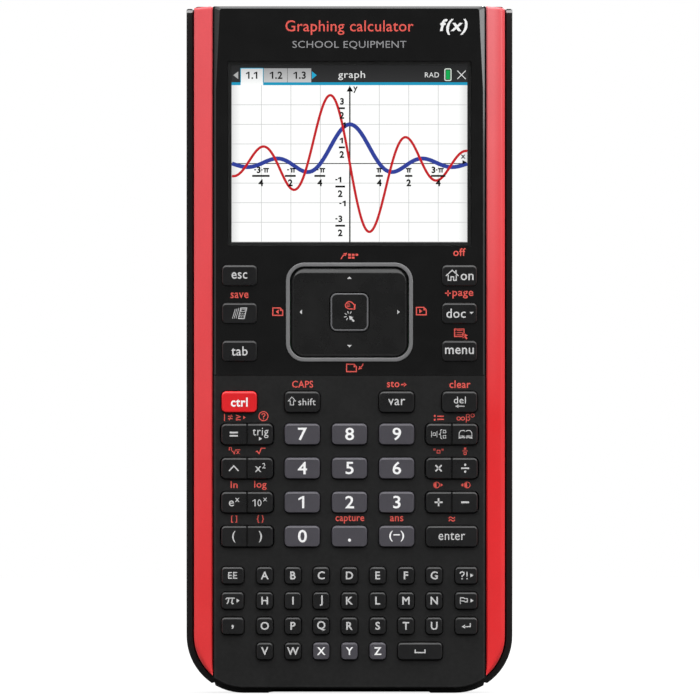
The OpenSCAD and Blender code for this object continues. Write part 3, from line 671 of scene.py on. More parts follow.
def build_rear():
    """Back half of the case, with a rounded back edge and the side groove for the lips of the cover."""
    shell = Shell()
    groove, groove_back, inner_y = 1.1, SPLIT + 2, BACK - 1.75
    lid, reset = span("battery_cover"), centre("reset_button")
    openings = [(inset(lid[0], -0.15), inset(lid[2], -0.15), 0.3)]
    openings += [(inset(x, -0.1), inset(z, -0.1), 2.19) for x, _, z in solids("housing_screws")]
    openings.append((about(reset[0], 1.45), about(reset[1], 1.45), 1.44))

    def outline(d, deep):
        loop = case_loop(d)
        half, k = CASE_HALF - d, len(loop) // 2
        low = [(max(min(x, half - deep), deep - half), z) for x, z in loop[k:]]
        return (loop[:k] + [(-half, LIPS_TOP + 0.01), (deep - half, LIPS_TOP)] + low
                + [(half - deep, LIPS_TOP), (half, LIPS_TOP + 0.01)])

    # Each level: inset, depth of the groove, height, and how much the edge colour is lightened
    plan = [(0, groove, REAR_Y, 0), (0, groove, groove_back, 0), (0, 0, groove_back + 0.01, 0),
            (0, 0, BACK - 1.2, 0), (0.12, 0, BACK - 0.6, 1.0), (0.45, 0, BACK - 0.16, 1.0),
            (1.1, 0, BACK, 0)]
    outer = [[shell.ring(outline(d, deep), y, mark)] for d, deep, y, mark in plan]
    holes = [[shell.ring(hole(*at, d, 6), y) for at in openings] for d, y in
             ((0.12, BACK), (0, BACK - 0.12), (0, inner_y))]
    inner = [[shell.ring(case_loop(3.0), y)] for y in (inner_y, REAR_Y)]
    for run in (outer, holes, inner):
        for rings, following in zip(run, run[1:]):
            for a, b in zip(rings, following):
                shell.bridge(a, b)
    for rings in (outer[-1] + holes[0], inner[0] + holes[-1], outer[0] + inner[1]):
        shell.cap(rings)
    back = shell.piece("case_back", ["case_black"], HANDHELD, "rear_housing", "case_plastic")
    cut(back, "usb_port", 0.1, 4)
    cut(back, "dock_connector", 0.1, -4)


def cut(obj, node, gap, reach):
    """Cuts an opening for a node through a piece, its box stretched by gap, and up or down by reach."""
    x, y, z = (inset(side, -gap) for side in span(node))
    z = z[0] + min(reach, 0), z[1] + max(reach, 0)
    tool = Shell()
    tool.stack(lambda d: [rounded(x, z, 0.2, 0, 1)], [(0, y[0]), (0, y[1])])
    cutter = link("opening", closed_mesh("opening", tool.points, tool.faces))
    change = obj.modifiers.new("opening", "BOOLEAN")
    change.operation, change.solver, change.object = "DIFFERENCE", "EXACT", cutter
    bpy.context.view_layer.update()
    done = bpy.data.meshes.new_from_object(obj.evaluated_get(bpy.context.evaluated_depsgraph_get()))
    obj.modifiers.remove(change)
    obj.data = done
    bpy.data.objects.remove(cutter)


def build_cover():
    """Slide cover: a U-shaped wall with a rounded front edge, and a back plate with shallow grip ribs."""
    shell = Shell()
    wall, plate_in, inner_y = 1.85, 4.0, BACK + 0.15
    r = CASE_R + wall
    cx, cz = COVER_HALF - r, r
    # The foot between the two feet is cut away: how deep, how far out, and the length of its slope
    relief, relief_x, slope = 0.85, 21.0, 1.4
    # V notch in each lower corner: its place on the arc and half its angle, and its depth in mm
    notch, notch_half, notch_deep = math.acos((37.5 - cx) / r), 0.038, 0.6
    turns = [a for a in (math.pi / 32 * i for i in range(17)) if abs(a - notch) > 1.2 * notch_half]
    turns = sorted(turns + [notch - notch_half, notch, notch + notch_half])

    def mirrored(run):
        return run + [(-x, z) for x, z in reversed(run)]

    def path(d):
        """Open run from the left tip down, round the closed end and up to the right tip, drawn in by d."""
        left = [(d - COVER_HALF, COVER_TOP - (COVER_TOP - cz) * i / 8) for i in range(8)]
        reach = [r - (max(d, notch_deep) if a == notch else d) for a in turns]
        bend = [(-cx - far * math.cos(a), cz - far * math.sin(a)) for a, far in zip(turns, reach)]
        return mirrored(left + bend + [(x, d) for x in (-24.0, -relief_x - slope, -relief_x, -8.0)])

    # Section of the wall: inset and height over the handheld's middle, from the inner front edge round to the back
    front_y, round_y = -4.0, -3.82
    profile = [(wall, -3.3), (wall - 0.06, round_y), (wall - 0.24, front_y), (wall - 0.4, front_y), (0.4, front_y),
               (0.24, front_y), (0.06, round_y), (0, -3.3), (0, 1.0), (0, COVER_BACK - 2.0),
               (0.2, COVER_BACK - 1.1), (0.65, COVER_BACK - 0.45), (1.3, COVER_BACK - 0.1), (2.2, COVER_BACK),
               (plate_in, COVER_BACK), (plate_in, inner_y), (wall + 0.5, inner_y), (wall + 0.1, inner_y - 0.25),
               (wall, inner_y - 0.6)]
    shift = COVER_FRONT - front_y
    # Lighter rounded edges of the wall: painted highlight, with some wear
    marks = {0.24: 0.5, 0.06: 0.5, 0.65: 0.6, 0.2: 0.4}

    def raised(x, z, y, d):
        """Lifts the foot in the middle, in front of the back plate."""
        if z > cz or y > inner_y - 0.6:
            return x, z
        lift = max(0, min(1.0, (relief_x + slope - abs(x)) / slope)) * relief
        return x, max(z, lift + d * 0.6)

    # Rounded tip of the wall: how far down, how much narrower, and how far back
    tip = [(0, 0.4, 1.0), (0.1, 0.2, 0.9), (0.3, 0.03, 0.68), (0.4, 0, 0.56), (1.1, 0, 0.02), (1.2, 0, 0)]
    rows = []
    for d, y in profile:
        front = max(0, min(1.0, (6.0 - y) / 3.0))
        ends = [(COVER_HALF - d - (wall / 2 - d) * shrink * front, COVER_TOP - drop,
                 y + push * max(0, -y / 4.0) + shift) for drop, shrink, push in tip]
        middle = [(*raised(x, z, y, d), y + shift) for x, z in path(d)[1:-1]]
        rows.append(shell.ring([(-x, z, y) for x, z, y in ends] + middle + ends[::-1], 0, marks.get(d, 0)))
        # Painted light: the front of the foot, which the case above shades, is lightened towards the bottom
        for i in rows[-1]:
            low = max(0, min(1.0, (6.0 - shell.points[i][2]) / 5.0))
            shell.edge[i] = max(shell.edge[i], 0.7 * low * front * (d < wall))
    last = len(rows[0]) - 1
    for j, row in enumerate(rows):
        shell.bridge(row, rows[(j + 1) % len(rows)], closed=False)
        # The tip faces of the wall take the light grey tip finish: a painted glint
        if 1 <= j <= 5:
            for k in (3, last - 4):
                shell.slots[k - last] = 1
    for end in (0, -1):
        shell.cap([[row[end] for row in rows]], axes=(0, 1))

    run = path(plate_in)
    plate = [(run[0][0], COVER_TOP)] + run[1:-1] + [(run[-1][0], COVER_TOP)]
    shell.stack(lambda d: [plate], [(0, inner_y), (0, COVER_BACK)])
    ribs, first_rib, rib_step = 9, 150.0, 3.2
    for i in range(ribs):
        rib = about(first_rib + rib_step * i, 0.7)
        shell.stack(lambda d: [rounded((-16, 16), rib, 0.69, d, 5)],
                    [(d, COVER_BACK + y) for d, y in ((0, -0.2), (0, 0.05), (0.12, 0.16), (0.4, 0.22))])
    # Inner lips that run in the grooves of the case
    for side in (-1, 1):
        lip = sorted((side * (CASE_HALF - 0.95), side * (CASE_HALF + 0.35)))

        def lip_loop(d):
            (x0, x1), (z0, z1) = inset(lip, d), inset((cz, LIPS_TOP - 0.2), d)
            return [[(x0, z0), (x1, z0), (x1, z1), (x0, z1)]]

        shell.stack(lip_loop, [(d, SPLIT + y) for d, y in ((0.2, 0.2), (0, 0.4), (0, 1.6), (0.2, 1.8))])
    shell.piece("cover", ["case_black", "case_tip"], "slide_cover", "slide_cover", "case_plastic")


def build_window():
    shell = Shell()
    x, (front, back), z = WINDOW
    shell.stack(lambda d: [rounded(x, z, 0.4, d)], [(0.03, front), (0, front + 0.03), (0, back)])
    shell.piece("window", ["clear_window"], HANDHELD, "display_window", "window")
    ink = Ink(back + 0.04, linear(8))
    ink.poly(rounded(x, z, 0.4), [rounded(LIT_X, LIT_Z, 0.1)[::-1]])
    ink.piece("window_mask", HANDHELD)


def build_touchpad():
    ring = Shell()
    x, (top, back), z = RING
    outer_r, band = 5.1, 1.1
    ring.stack(lambda d: [rounded(x, z, outer_r, d, 12),
                          rounded(inset(x, band - d), inset(z, band - d), outer_r - band + d, 0, 12)],
               [(0.2, top), (0.08, top + 0.04), (0, top + 0.18), (0, back)])
    ring.piece("pad_ring", ["ring_grey"], HANDHELD, "touchpad_ring", "ring_plastic")

    pad = Shell()
    well, plate = (inset(CLICK[0], 0.35), inset(CLICK[2], 0.35), 1.95), inset(z, 1.46)
    top, back = PAD[1][0], PAD[1][0] + 1.2
    # The 0.4 and 0.6 lighten the top of the plate's chamfer: a painted highlight
    pad.stack(lambda d: [rounded(PAD[0], plate, 3.64, d, 12, (0.4, 0.4, 0.5)), hole(*well, min(d, 0.1), 8)],
              [(1.5, top), (1.4, top + 0.01, 0.4), (1.28, top + 0.04, 0.6), (0.3, top + 0.40), (0.08, top + 0.5),
               (0, top + 0.7), (0, back)])
    low, high = PAD[2]
    for leg in ((low, low + 2.9), (high - 2.9, high)):
        pad.stack(lambda d: [rounded((-1.6, 1.6), leg, 0.3, d, 3)], [(0, back - 0.1), (0, PAD[1][1])])
    pad.piece("pad_plate", ["pad_black"], "touchpad", "touchpad", "key_plastic")

    button = Shell()
    x, (top, back), z = CLICK
    button.stack(lambda d: [rounded(inset(x, 0.6), inset(z, 0.6), 1.7, d, 8)],
                 [(0.42, top + 0.06), (0.36, top), (0.12, top), (0.03, top + 0.04), (0, top + 0.14),
                  (0, top + 1.2), (-0.6, top + 1.25), (-0.6, back)], slots=[1, 1, 1, 1, 0, 0, 0])
    button.piece("pad_button", ["pad_black", "outline_grey"], "click_button", "click_button", "key_plastic")


# Keys: inset, depth below the top of the cap and edge lightening of each level (a painted highlight strongest on the
# upper chamfer, with some wear), and how much the sides keep of the inset
CAP = [(0.54, 0, 0.25), (0.46, 0.03, 0.8), (0.1, 0.34, 1.0), (0.02, 0.46, 0.5), (0, 0.8, 0)]
CAP_LEVELS = [(d, KEY_TOP + y, e) for d, y, e in CAP]
SIDE_EDGE, LOW_EDGE, MIDDLE_EDGE = 0.6, 0.45, 0.25


def cap(shell, x, z, r, slot=0):
    base = FLANGE_BACK - FLANGE_T
    levels = CAP_LEVELS + [(0, base), (-FLANGE, base + 0.01), (-FLANGE, FLANGE_BACK)]
    x, z, keep = inset(x, FLANGE), inset(z, FLANGE), (SIDE_EDGE, SIDE_EDGE, LOW_EDGE)
    shell.stack(lambda d: [rounded(x, z, r + max(-d, 0), d, 5, keep if d > 0 else (1, 1, 1))], levels, slot)


def build_keys():
    for node in KEYS:
        shell = Shell()
        if node in ROCKERS:
            rocker_caps(shell, *span(node))
            shell.piece(node.replace("key_", "rocker_"), ["key_black"], node, node, "key_plastic")
            continue
        x, _, z = span(node)
        cap(shell, x, z, KEY_R)
        look, slot = ("key_red", "red_key_plastic") if node == "key_ctrl" else ("key_black", "key_plastic")
        if re.fullmatch(r"key_(\d|point|negate)", node):
            look, slot = "key_grey", "number_key_plastic"
        shell.piece(node.replace("key_", "cap_"), [look], node, node, slot)
    for row, node in enumerate(LETTER_ROWS):
        shell = Shell()
        for i, (x, _, z) in enumerate(solids(node)):
            cap(shell, x, z, LETTER_R, int(row == 3 and i in (2, 3, 4)))
        shell.piece(f"caps_{node}", ["key_black", "key_grey"], node, node, "key_plastic")


def rocker_caps(shell, x, _, z):
    """Two caps with a slit between them, on one base."""
    inner_r, slit, mid, tall = 0.25, 0.16, sum(x) / 2, z
    z, base = inset(z, FLANGE), KEY_TOP + 0.62
    for half, radii, keep in (
            ((x[0], mid - slit), (inner_r, KEY_R, KEY_R, inner_r), (SIDE_EDGE, MIDDLE_EDGE, LOW_EDGE)),
            ((mid + slit, x[1]), (KEY_R, inner_r, inner_r, KEY_R), (MIDDLE_EDGE, SIDE_EDGE, LOW_EDGE))):
        shell.stack(lambda d: [rounded(half, z, radii, d, 5, keep)], CAP_LEVELS)
    shell.stack(lambda d: [rounded(x, z, KEY_R, d, 5)], [(0.12, base), (0.04, base + 0.15), (0.04, FLANGE_BACK - 0.2)])
    shell.stack(lambda d: [rounded(about(mid, 1.2), tall, 0.2, d, 2)],
                [(0, FLANGE_BACK - FLANGE_T + 0.05), (0, FLANGE_BACK)])


# Signs over the keys (on the case, in red), drawn from the middle of each key
OVER_KEYS = {
    "on": "text 3 .03 3.4 1.06 0,6.45 'off",
    "doc": "text 2.95 .03 5.75 1.06 .95,5.15 'page; box -3.95,5.36 -2.35,5.68 -3.31,4.72 -2.99,6.32",
    "notes": "text 3.2 .03 4.95 1.06 0,4.95 'save",
    "menu": "loop .26 -1.35,4 1.25,4 1.25,6.05 -1.35,6.05;"
            "box -.7,4.37 .9,4.55 -1.1,4.37 -.9,4.55 -.7,4.95 .9,5.13 -1.1,4.95 -.9,5.13;"
            "box -.7,5.53 .9,5.71 -1.1,5.53 -.9,5.71;"
            "fill .8,5.15 .8975,3.473 1.346,3.863 1.8725,3.2 2.243,3.473 1.697,4.136 2.321,4.2725",
    "shift": "text 2.65 .03 5.8 1.06 .1,4.85 'CAPS",
    "var": "text 2.85 .03 3.45 1.06 -.95,4.85 'sto; line .36 1.2,4.75 2.3,4.75; tip 0 1.25 .8 2.4,4.75",
    "del": "text 2.95 .03 5.8 1.06 .1,4.85 'clear",
    "point": "text 2.85 .03 7.9 1.06 .1,4.68 'capture",
    "negate": "text 3 .03 3.65 1.06 0,4.85 'ans",
    "enter": "text 3.5 0 0,4.75 '≈",
}
# On the keys: words, then pictures (a drop-down mark, arrows, a house, and a pad of notes with a calculator)
KEY_SIGNS = {
    "esc": "rgb 214; text 3.75 .03 4.35 1.06 0,0 'esc",
    "tab": "rgb 214; text 3.6 .03 4.5 1.06 0,0 'tab",
    "menu": "rgb 214; text 3.75 .03 7.9 1.06 0,.05 'menu",
    "doc": "rgb 214; text 3.6 .03 5.3 1.06 -.95,0 'doc; rgb 206; tip 3 1.15 .65 3.3,.05",
    "var": "rgb 214; text 3.75 0 4.65 1.06 0,-.05 'var",
    "del": "rgb 214; text 2.75 0 3.3 1.06 .05,.5 'del; rgb 206; line .22 -.6,-1.2 1.35,-1.2; tip 2 .95 .8 -.75,-1.2",
    "enter": "rgb 214; text 3.75 0 7.3 1.06 0,0 'enter",
    "shift": "rgb 214; text 2.7 0 4.75 1.06 1.3,0 'shift;"
             "rgb 206; loop .2 -2.85,1.35 -1.85,.25 -2.4,.25 -2.4,-.85 -3.3,-.85 -3.3,.25 -3.85,.25",
    "ctrl": "rgb 252; text 3.4 .09 4.65 1.08 0,-.1 'ctrl",
    "point": "rgb 252; disc .42 0,-1.05",
    "negate": "rgb 252; text 3.1 .03 4.1 0,.05 '(−)",
    "1": "rgb 252; one 3.4 .62 .25,.05",
    **{n: f"rgb 252; text 4.8 .065 0 1 1.1 .05,.05 '{n}" for n in "023456789"},
    "on": "rgb 214; text 3.75 .03 3.55 1.06 2.1,-.4 'on;"
          "rgb 206; line .3 -3.7,-.1 -2,1.45 -.3,-.1; box -1.15,.6 -.8,1.45;"
          "line .28 -3.1,.1 -3.1,-1.35 -2.35,-1.35 -2.35,-.35 -1.6,-.35 -1.6,-1.35 -.9,-1.35 -.9,.1",
    "notes": "line .15 -1.95,-1.45 -1.15,1.15; line .15 -1.45,-1.45 -.65,1.3; line .15 -.95,-1.45 -.15,1.45;"
             "loop .22 -.3,-1.45 1.3,-1.45 2,1.45 .4,1.45; loop .13 .42,.5 1.5,.5 1.64,1.1 .56,1.1;"
             "box -.01,-1.1 .23,-.89 .47,-1.1 .71,-.89 .95,-1.1 1.19,-.89 .1,-.64 .34,-.43 .58,-.64 .82,-.43;"
             "box 1.06,-.64 1.3,-.43 .21,-.18 .45,.03 .69,-.18 .93,.03 1.17,-.18 1.41,.03",
}
# Two-function keys: over the left and the right half, then on them
ROCKER_SIGNS = {
    "equals_trig": (
        "box -2.7,3.65 -2.45,5.55; text 2.9 .02 -.97,4.6 '≠; text 2.9 .02 1.25,4.6 '≥; tip 0 1 .75 2.95,4.6",
        "ring 1.26 .22 .85,4.95; query 1 .85,4.95",
        "box -1.13,-.66 1.13,-.22 -1.13,.22 1.13,.66",
        "text 3.3 0 4.35 1.08 .05,.35 'trig; tip 0 1 .85 .05,-1.25"),
    "power_square": (
        "text 2.1 .02 -.95,5.35 'n; line .2 -.5,4.55 -.25,4.67 .12,3.95 .5,5.07 1.75,5.07; text 1.95 .02 1.15,4.39 'x",
        "line .3 -1.25,4.5 -.9,4.7 -.35,4 .25,5.5 1.4,5.5",
        "line .34 -1.3,-.75 0,.65 1.3,-.75",
        "text 3.5 0 -.6,-.25 'x; text 2.1 0 .95,.7 '2"),
    "exponents": (
        "text 2.7 .03 1.95 1.06 .1,4.85 'ln",
        "text 2.7 .03 3.4 1.06 0,4.65 'log",
        "text 3.4 .01 -.65,-.3 'e; text 2.4 .01 .95,.65 'x",
        "one 1.95 .3 -1.45,-.15; text 2.7 0 0 1 .95 -.25,-.15 '0; text 2.2 0 1.3,.75 'x"),
    "brackets": (
        "text 2.1 .02 .1,4.75 '[_]", "text 2.2 .02 0,4.75 '{_}",
        "text 3.3 .04 0,-.1 '(", "text 3.3 .04 0,-.1 ')"),
    "template_catalog": (
        "box -.35,3.92 1.5,4.24 -.35,4.76 1.5,5.08; disc .27 12 -1.05,3.975 -1.05,5.025",
        "text 2.8 0 -1.2,4.3 '∞; text 2.5 0 .8,4.4 'β; ring .46 .17 2.05,5.15",
        "box -2.02,-.85 -1.88,.85 -.52,-.85 -.38,.85; loop .15 -1.54,-.36 -.86,-.36 -.86,.36 -1.54,.36;"
        "loop .15 1.31,.36 1.99,.36 1.99,1.08 1.31,1.08; loop .15 1.31,-1.08 1.99,-1.08 1.99,-.36 1.31,-.36;"
        "line .17 1,1.3 .6,1.1 .6,.25 .25,0 .6,-.25 .6,-1.1 1,-1.3",
        ""),
    "times_divide": (
        "box -1.34,4.85 -1.16,5.4 -1.04,4.85 -.86,5.4 .86,4.85 1.04,5.4 1.16,4.85 1.34,5.4;"
        "loop .17 -.4,4.15 .4,4.15 .4,4.95 -.4,4.95",
        "box -.32,5.1 .32,5.7 -.75,4.66 .75,4.83; loop .15 -.32,3.75 .32,3.75 .32,4.33 -.32,4.33",
        "line .42 -.85,.85 .85,-.85; line .42 -.85,-.85 .85,.85",
        "box -1.1,-.2 1.1,.2; disc .32 0,-.95 0,.95"),
    "plus_minus": (
        "ring .82 .2 -.55,4.75; disc .8 20 90 180 -.55,4.75; tip 0 .95 .7 .9,4.75",
        "ring .82 .2 .55,4.75; disc .8 20 90 180 .55,4.75; tip 2 .95 .7 -.9,4.75",
        "box -1.1,-.22 1.1,.22 -.22,-1.1 .22,1.1",
        "box -1.1,-.25 1.1,.25"),
}
BOOK_PAGE = ("loop .19 0,-.85 .7,-.7 1.75,-.95 1.75,.35 1.35,.95 .6,1.05 0,.75;"
             "line .12 .2,-.5 .8,-.4 1.5,-.55; line .14 .1,-1.05 .8,-.95 1.9,-1.2")
LETTERS = (("EE", *"ABCDEFG", "?!"), ("π", *"HIJKLMN", "flag"), (",", *"OPQRSTU", "return"), (*"VWXYZ", "space"))
LETTER_SIGNS = {
    "flag": "line .24 -1.6,-.95 -1.6,.8 -.75,.8 -.45,.55 .3,.55 .3,-.35 -.35,-.35 -.6,-.1 -1.6,-.1;"
            "tip 0 1.1 .85 1.6,0",
    "return": "line .28 1.1,.75 1.1,-.2 -.5,-.2; tip 2 1.15 .95 -.8,-.2",
    "space": "line .34 -1.35,.45 -1.35,-.4 1.35,-.4 1.35,.45",
    "?!": "query 1.3 -1.15,.05; box .05,-.35 .35,.98; disc .2 10 .2,-.9; tip 0 1.1 .85 1.55,0",
    "π": "line .28 -1.95,.35 -1.6,.7 .6,.7; line .3 -1.05,.6 -1.25,-.4 -1.6,-.9;"
         "line .3 -.05,.6 -.25,-.5 -.1,-.85 .3,-.8; tip 0 1.1 .85 1.5,0",
    ",": "text 4.2 .06 0,-.3 ',",
    "EE": "text 2.65 .02 0 1.05 0,0 'EE",
}
# Page with a folded corner, and the marks round the touchpad, each with its x and its height over the middle
SHEET = "loop .3 -1.35,-1.02 1.35,-1.02 1.35,.3 .7,1.02 -1.35,1.02; fill .6,1 .6,.2 1.35,.2"
ROUND_PAD = (
    (-19.75, 0.15, SHEET + "; tip 2 1.2 .8 -.15,-.02"), (19.8, 0.3, SHEET + "; tip 0 1.2 .8 -.15,-.02"),
    (0.55, -15.35, SHEET),
    (0, 0, "sweep .27 3.75,-14.2 3.55,-14.9 2.95,-15.35; sweep .27 -2.3,14.6 -2,15.5 -1.2,15.95;"
           "box -.35,15.55 .4,16.1 .65,15.55 1.4,16.1 1.65,15.55 2.4,16.1 -.35,14.75 .4,15.3 .65,14.75 1.4,15.3"))
PAD_TIPS = "tip 1 1.3 .65 0,9.5; tip 3 1.3 .65 0,-9.35; tip 2 1.3 .65 -13.4,.05; tip 0 1.3 .65 13.5,.05"
# Hand and arrow on the click button
HAND = ("line .26 -1.1,-.55 -1.25,.1 -.85,.75 -.2,1.05 .5,.85 1.25,.1; line .26 -1.1,-.55 -.3,-1 .9,-1;"
        "line .15 -.85,-.4 .15,-.22; line .15 -.85,-.02 .05,.16; line .15 -.85,.36 -.05,.54;"
        "fill 1,-1.25 1.45,-1.15 1.6,.3 1.2,.35")
POINTER = "fill 0,0 1.15,-.35 .85,-.65 1.6,-1.4 1.25,-1.7 .55,-.95 .3,-1.2"


def build_signs():
    case = Ink(FACE, RED)
    case.text("Graphing calculator", 0, 183.4, 4.35, 0.02, 35.3, 1.04)
    case.use(linear(150, 150, 152)).text("SCHOOL EQUIPMENT", 0, 178.6, 2.75, 0, 31.4, 1.05)
    case.use(WHITE).text("f(x)", 28.75, 183.6, 4.5, 0.12, 7.6, 1.12, shear=0.2)
    case.use(RED)
    for name, marks in OVER_KEYS.items():
        case.draw(marks, *centre("key_" + name))
    for x, up, marks in ROUND_PAD:
        case.draw(marks, x, PAD_Z + up)
    inks = {n: Ink(KEY_TOP) for n in KEYS + LETTER_ROWS}
    for name, marks in KEY_SIGNS.items():
        inks["key_" + name].draw(marks, *centre("key_" + name))
    for name, (*over, left, right) in ROCKER_SIGNS.items():
        node = "key_" + name
        x, z = centre(node)
        for side, above, marks in zip((-1, 1), over, (left, right)):
            case.draw(above, x + side * SIGN_X, z)
            inks[node].draw(marks, x + side * SIGN_X, z)
    x, z = centre("key_template_catalog")
    for page in (-1, 1):
        inks["key_template_catalog"].draw(BOOK_PAGE, x + SIGN_X + 0.1, z, page)
    for node, row in zip(LETTER_ROWS, LETTERS):
        for (x, _, z), sign in zip(solids(node), row):
            marks = LETTER_SIGNS.get(sign, f"text 3 .06 0,0 '{sign}")
            inks[node].use(WHITE if sign in "XYZ" else SIGN).draw(marks, sum(x) / 2, sum(z) / 2)
    case.piece("signs_case", HANDHELD)
    for node, ink in sorted(inks.items()):
        ink.piece("signs_" + node.replace("key_", ""), node)
    pad = Ink(PAD[1][0])
    pad.draw(PAD_TIPS, 0, PAD_Z)
    pad.piece("signs_pad", "touchpad")
    button = Ink(CLICK[1][0] + 0.06, RED)
    button.draw(HAND, 0.1, PAD_Z + 1.9)
    x, z = -0.15, PAD_Z - 1.0
    button.use(SIGN).draw(POINTER, x, z)
    # Short rays round the arrow's tip
    for angle in (60, 105, 150, 195, 240):
        button.line([arc(x, z, r, angle, 0, 1)[0] for r in (0.65, 1.35)], 0.2)
    button.piece("signs_button", "click_button")


# Marks in the bar at the top of the lit picture, from its upper left and its upper right corner
BAR_LEFT = ("rise .02; rgb 40,170,205; box 2.42,-4.7 2.58,-.8 8.62,-4.7 8.78,-.8 2.5,-.92 8.7,-.76; rgb 6;"
            "one 1.95 .4 4.75,-2.75 6.9,-2.75 11.3,-2.75 17.85,-2.75; disc .25 10 5.7,-3.53 12.25,-3.53 18.8,-3.53;"
            "text 2.75 .07 13.35,-2.75 '2; text 2.75 .07 19.9,-2.75 '3; rgb 172; tip 2 2.1 1.35 1.15,-2.75;"
            "rgb 36,164,204; tip 0 2.2 1.35 22.8,-2.75")
BAR_RIGHT = ("rgb 20,168,82; box -5.87,-3.85 -4.83,-1.4; rgb 232; text 2 0 3.9 1.1 -9.75,-2.65 'RAD;"
             "line .2 -2.75,-1.5 -.45,-3.8; line .2 -2.75,-3.8 -.45,-1.5")


def build_screen():
    """The lit picture on the display: a generic function plot in one mesh."""
    (x0, x1), (z0, z1) = LIT_X, LIT_Z
    bar_z, plot_z = z1 - 4.7, z1 - 5.5
    ink = Ink(PANEL[1][0], thick=0.01)

    def ramp(low, high, a, b, axis=1):
        """Grey that runs from low to high between a and b, across (axis 0) or up (axis 1)."""
        return lambda *p: tuple(u + (v - u) * max(0, min(1, (p[axis] - a) / (b - a)))
                                for u, v in zip(linear(*low), linear(*high)))

    ink.use(linear(12)).poly([(x0 - 0.45, z0 - 0.45), (x1 + 0.45, z0 - 0.45), (x1 + 0.45, z1 + 0.45),
                              (x0 - 0.45, z1 + 0.45)], [[(x0, z0), (x0, z1), (x1, z1), (x1, z0)]])
    ink.use(ramp((50, 50, 51), (36, 36, 37), bar_z, z1)).box(x0, bar_z, x1, z1)
    ink.use(linear(28, 150, 188)).box(x0, plot_z, x1, bar_z)
    # The white sheet, a little darker towards its sides: painted shade
    fade, edge = 2.6, 0.35
    for a, b in ((x0, x0 + edge), (x0 + edge, x0 + fade)):
        ink.use(ramp((222,), (255,), x0, x0 + fade, 0)).box(a, z0, b, plot_z)
    ink.use(linear(255)).box(x0 + fade, z0, x1 - fade, plot_z)
    for a, b in ((x1 - fade, x1 - edge), (x1 - edge, x1)):
        ink.use(ramp((255,), (222,), x1 - fade, x1, 0)).box(a, z0, b, plot_z)
    # Tabs, title and marks in the top bar
    tab_top = z1 - 0.85
    ink.use(ramp((205, 206, 208), (255,), tab_top, z1 - 3.6), 0.01).box(x0 + 2.5, plot_z - 0.02, x0 + 8.7, tab_top)
    for a in (x0 + 8.85, x0 + 15.45):
        ink.use(ramp((196, 196, 197), (158, 158, 160), bar_z, tab_top)).box(a, bar_z, a + 6.5, tab_top)
    ink.draw(BAR_LEFT, x0, z1)
    ink.draw(BAR_RIGHT, x1, z1)
    ink.draw("text 2.75 0 7.4 1.06 .6,-2.85 'graph", 0, z1)
    battery = rounded(about(x1 - 5.35, 0.85), about(z1 - 2.6, 1.6), 0.35, 0, 3)
    ink.use(linear(220, 232, 222)).line(battery, 0.26, closed=True)
    # Grid, axes and curves: a grid line at each quarter of pi and each half
    unit_x, unit_z = (x1 - x0) / math.tau, 10.8
    step_x, step_z = unit_x * math.pi / 4, unit_z / 2
    axis_x, axis_z = 0.1, plot_z - 21.6
    ink.use(linear(206, 206, 207), 0.01)
    for i in range(-4, 4):
        gx, gz = axis_x + i * step_x, axis_z + i * step_z
        if i > -4:
            ink.box(gx - 0.1, z0, gx + 0.1, plot_z)
        if gz > z0:
            ink.box(x0, gz - 0.1, x1, gz + 0.1)
    ink.use(linear(48), 0.02).box(axis_x - 0.2, z0, axis_x + 0.2, plot_z - 1.0)
    ink.box(x0, axis_z - 0.13, x1, axis_z + 0.13)

    def curve(f):
        """Path of a function of 4t, from -pi to pi, kept inside the lit picture."""
        path = []
        for i in range(241):
            t = -math.pi + math.tau * i / 240
            x = max(x0, min(x1, axis_x + t * unit_x))
            if not path or x - path[-1][0] > 1e-6:
                path.append((x, axis_z + f(4 * t) * unit_z))
        return path

    ink.use(linear(48, 64, 152), 0.03).ribbon(curve(lambda u: 1.0 if abs(u) < 1e-6 else math.sin(u) / u), 1.12)
    ink.use(linear(196, 32, 38), 0.04).ribbon(
        curve(lambda u: 0 if abs(u) < 1e-3 else 4 * (u * math.cos(u) - math.sin(u)) / u ** 2), 0.7)
    ink.draw("rgb 6; rise .05; tip 1 1.8 1.6 0,-.95; text 2.5 .05 1.55,-1.25 'y", axis_x, plot_z)
    ink.draw("tip 0 1.2 1.2 -.75,.35; text 2.2 .05 -1.15,1.9 'x; rgb 0", x1, axis_z)
    # Quarters of pi under the x axis: fraction bar, sign, figure and pi over 2 or 4
    for k, half_bar, shift, u in ((-3, 2.4, -0.15, 1.45), (-2, 1.5, -0.15, 0.7), (-1, 1.5, -0.15, 0.7),
                                  (1, 1.0, 0, 0), (2, 1.0, 0, 0), (3, 2.0, 0, 0.75)):
        x = axis_x + k * step_x + shift
        ink.draw(f"box {-half_bar},-3.68 {half_bar},-3.15; text 2.5 .1 0,-5.3 '{2 if abs(k) == 2 else 4}", x, axis_z)
        ink.draw("box -.48,-2.5 -.12,-1.35 .12,-2.5 .48,-1.35 -.8,-1.58 .8,-1.22", x + u, axis_z)
        if abs(k) == 3:
            ink.draw("text 2.35 .1 -2.05,-1.75 '3; disc .22 8 -1.17,-1.75", x + u, axis_z)
        if k < 0:
            ink.draw(f"box {'-3.3,-1.9 -2.75' if k == -3 else '-1.6,-1.9 -1.05'},-1.55", x + u, axis_z)
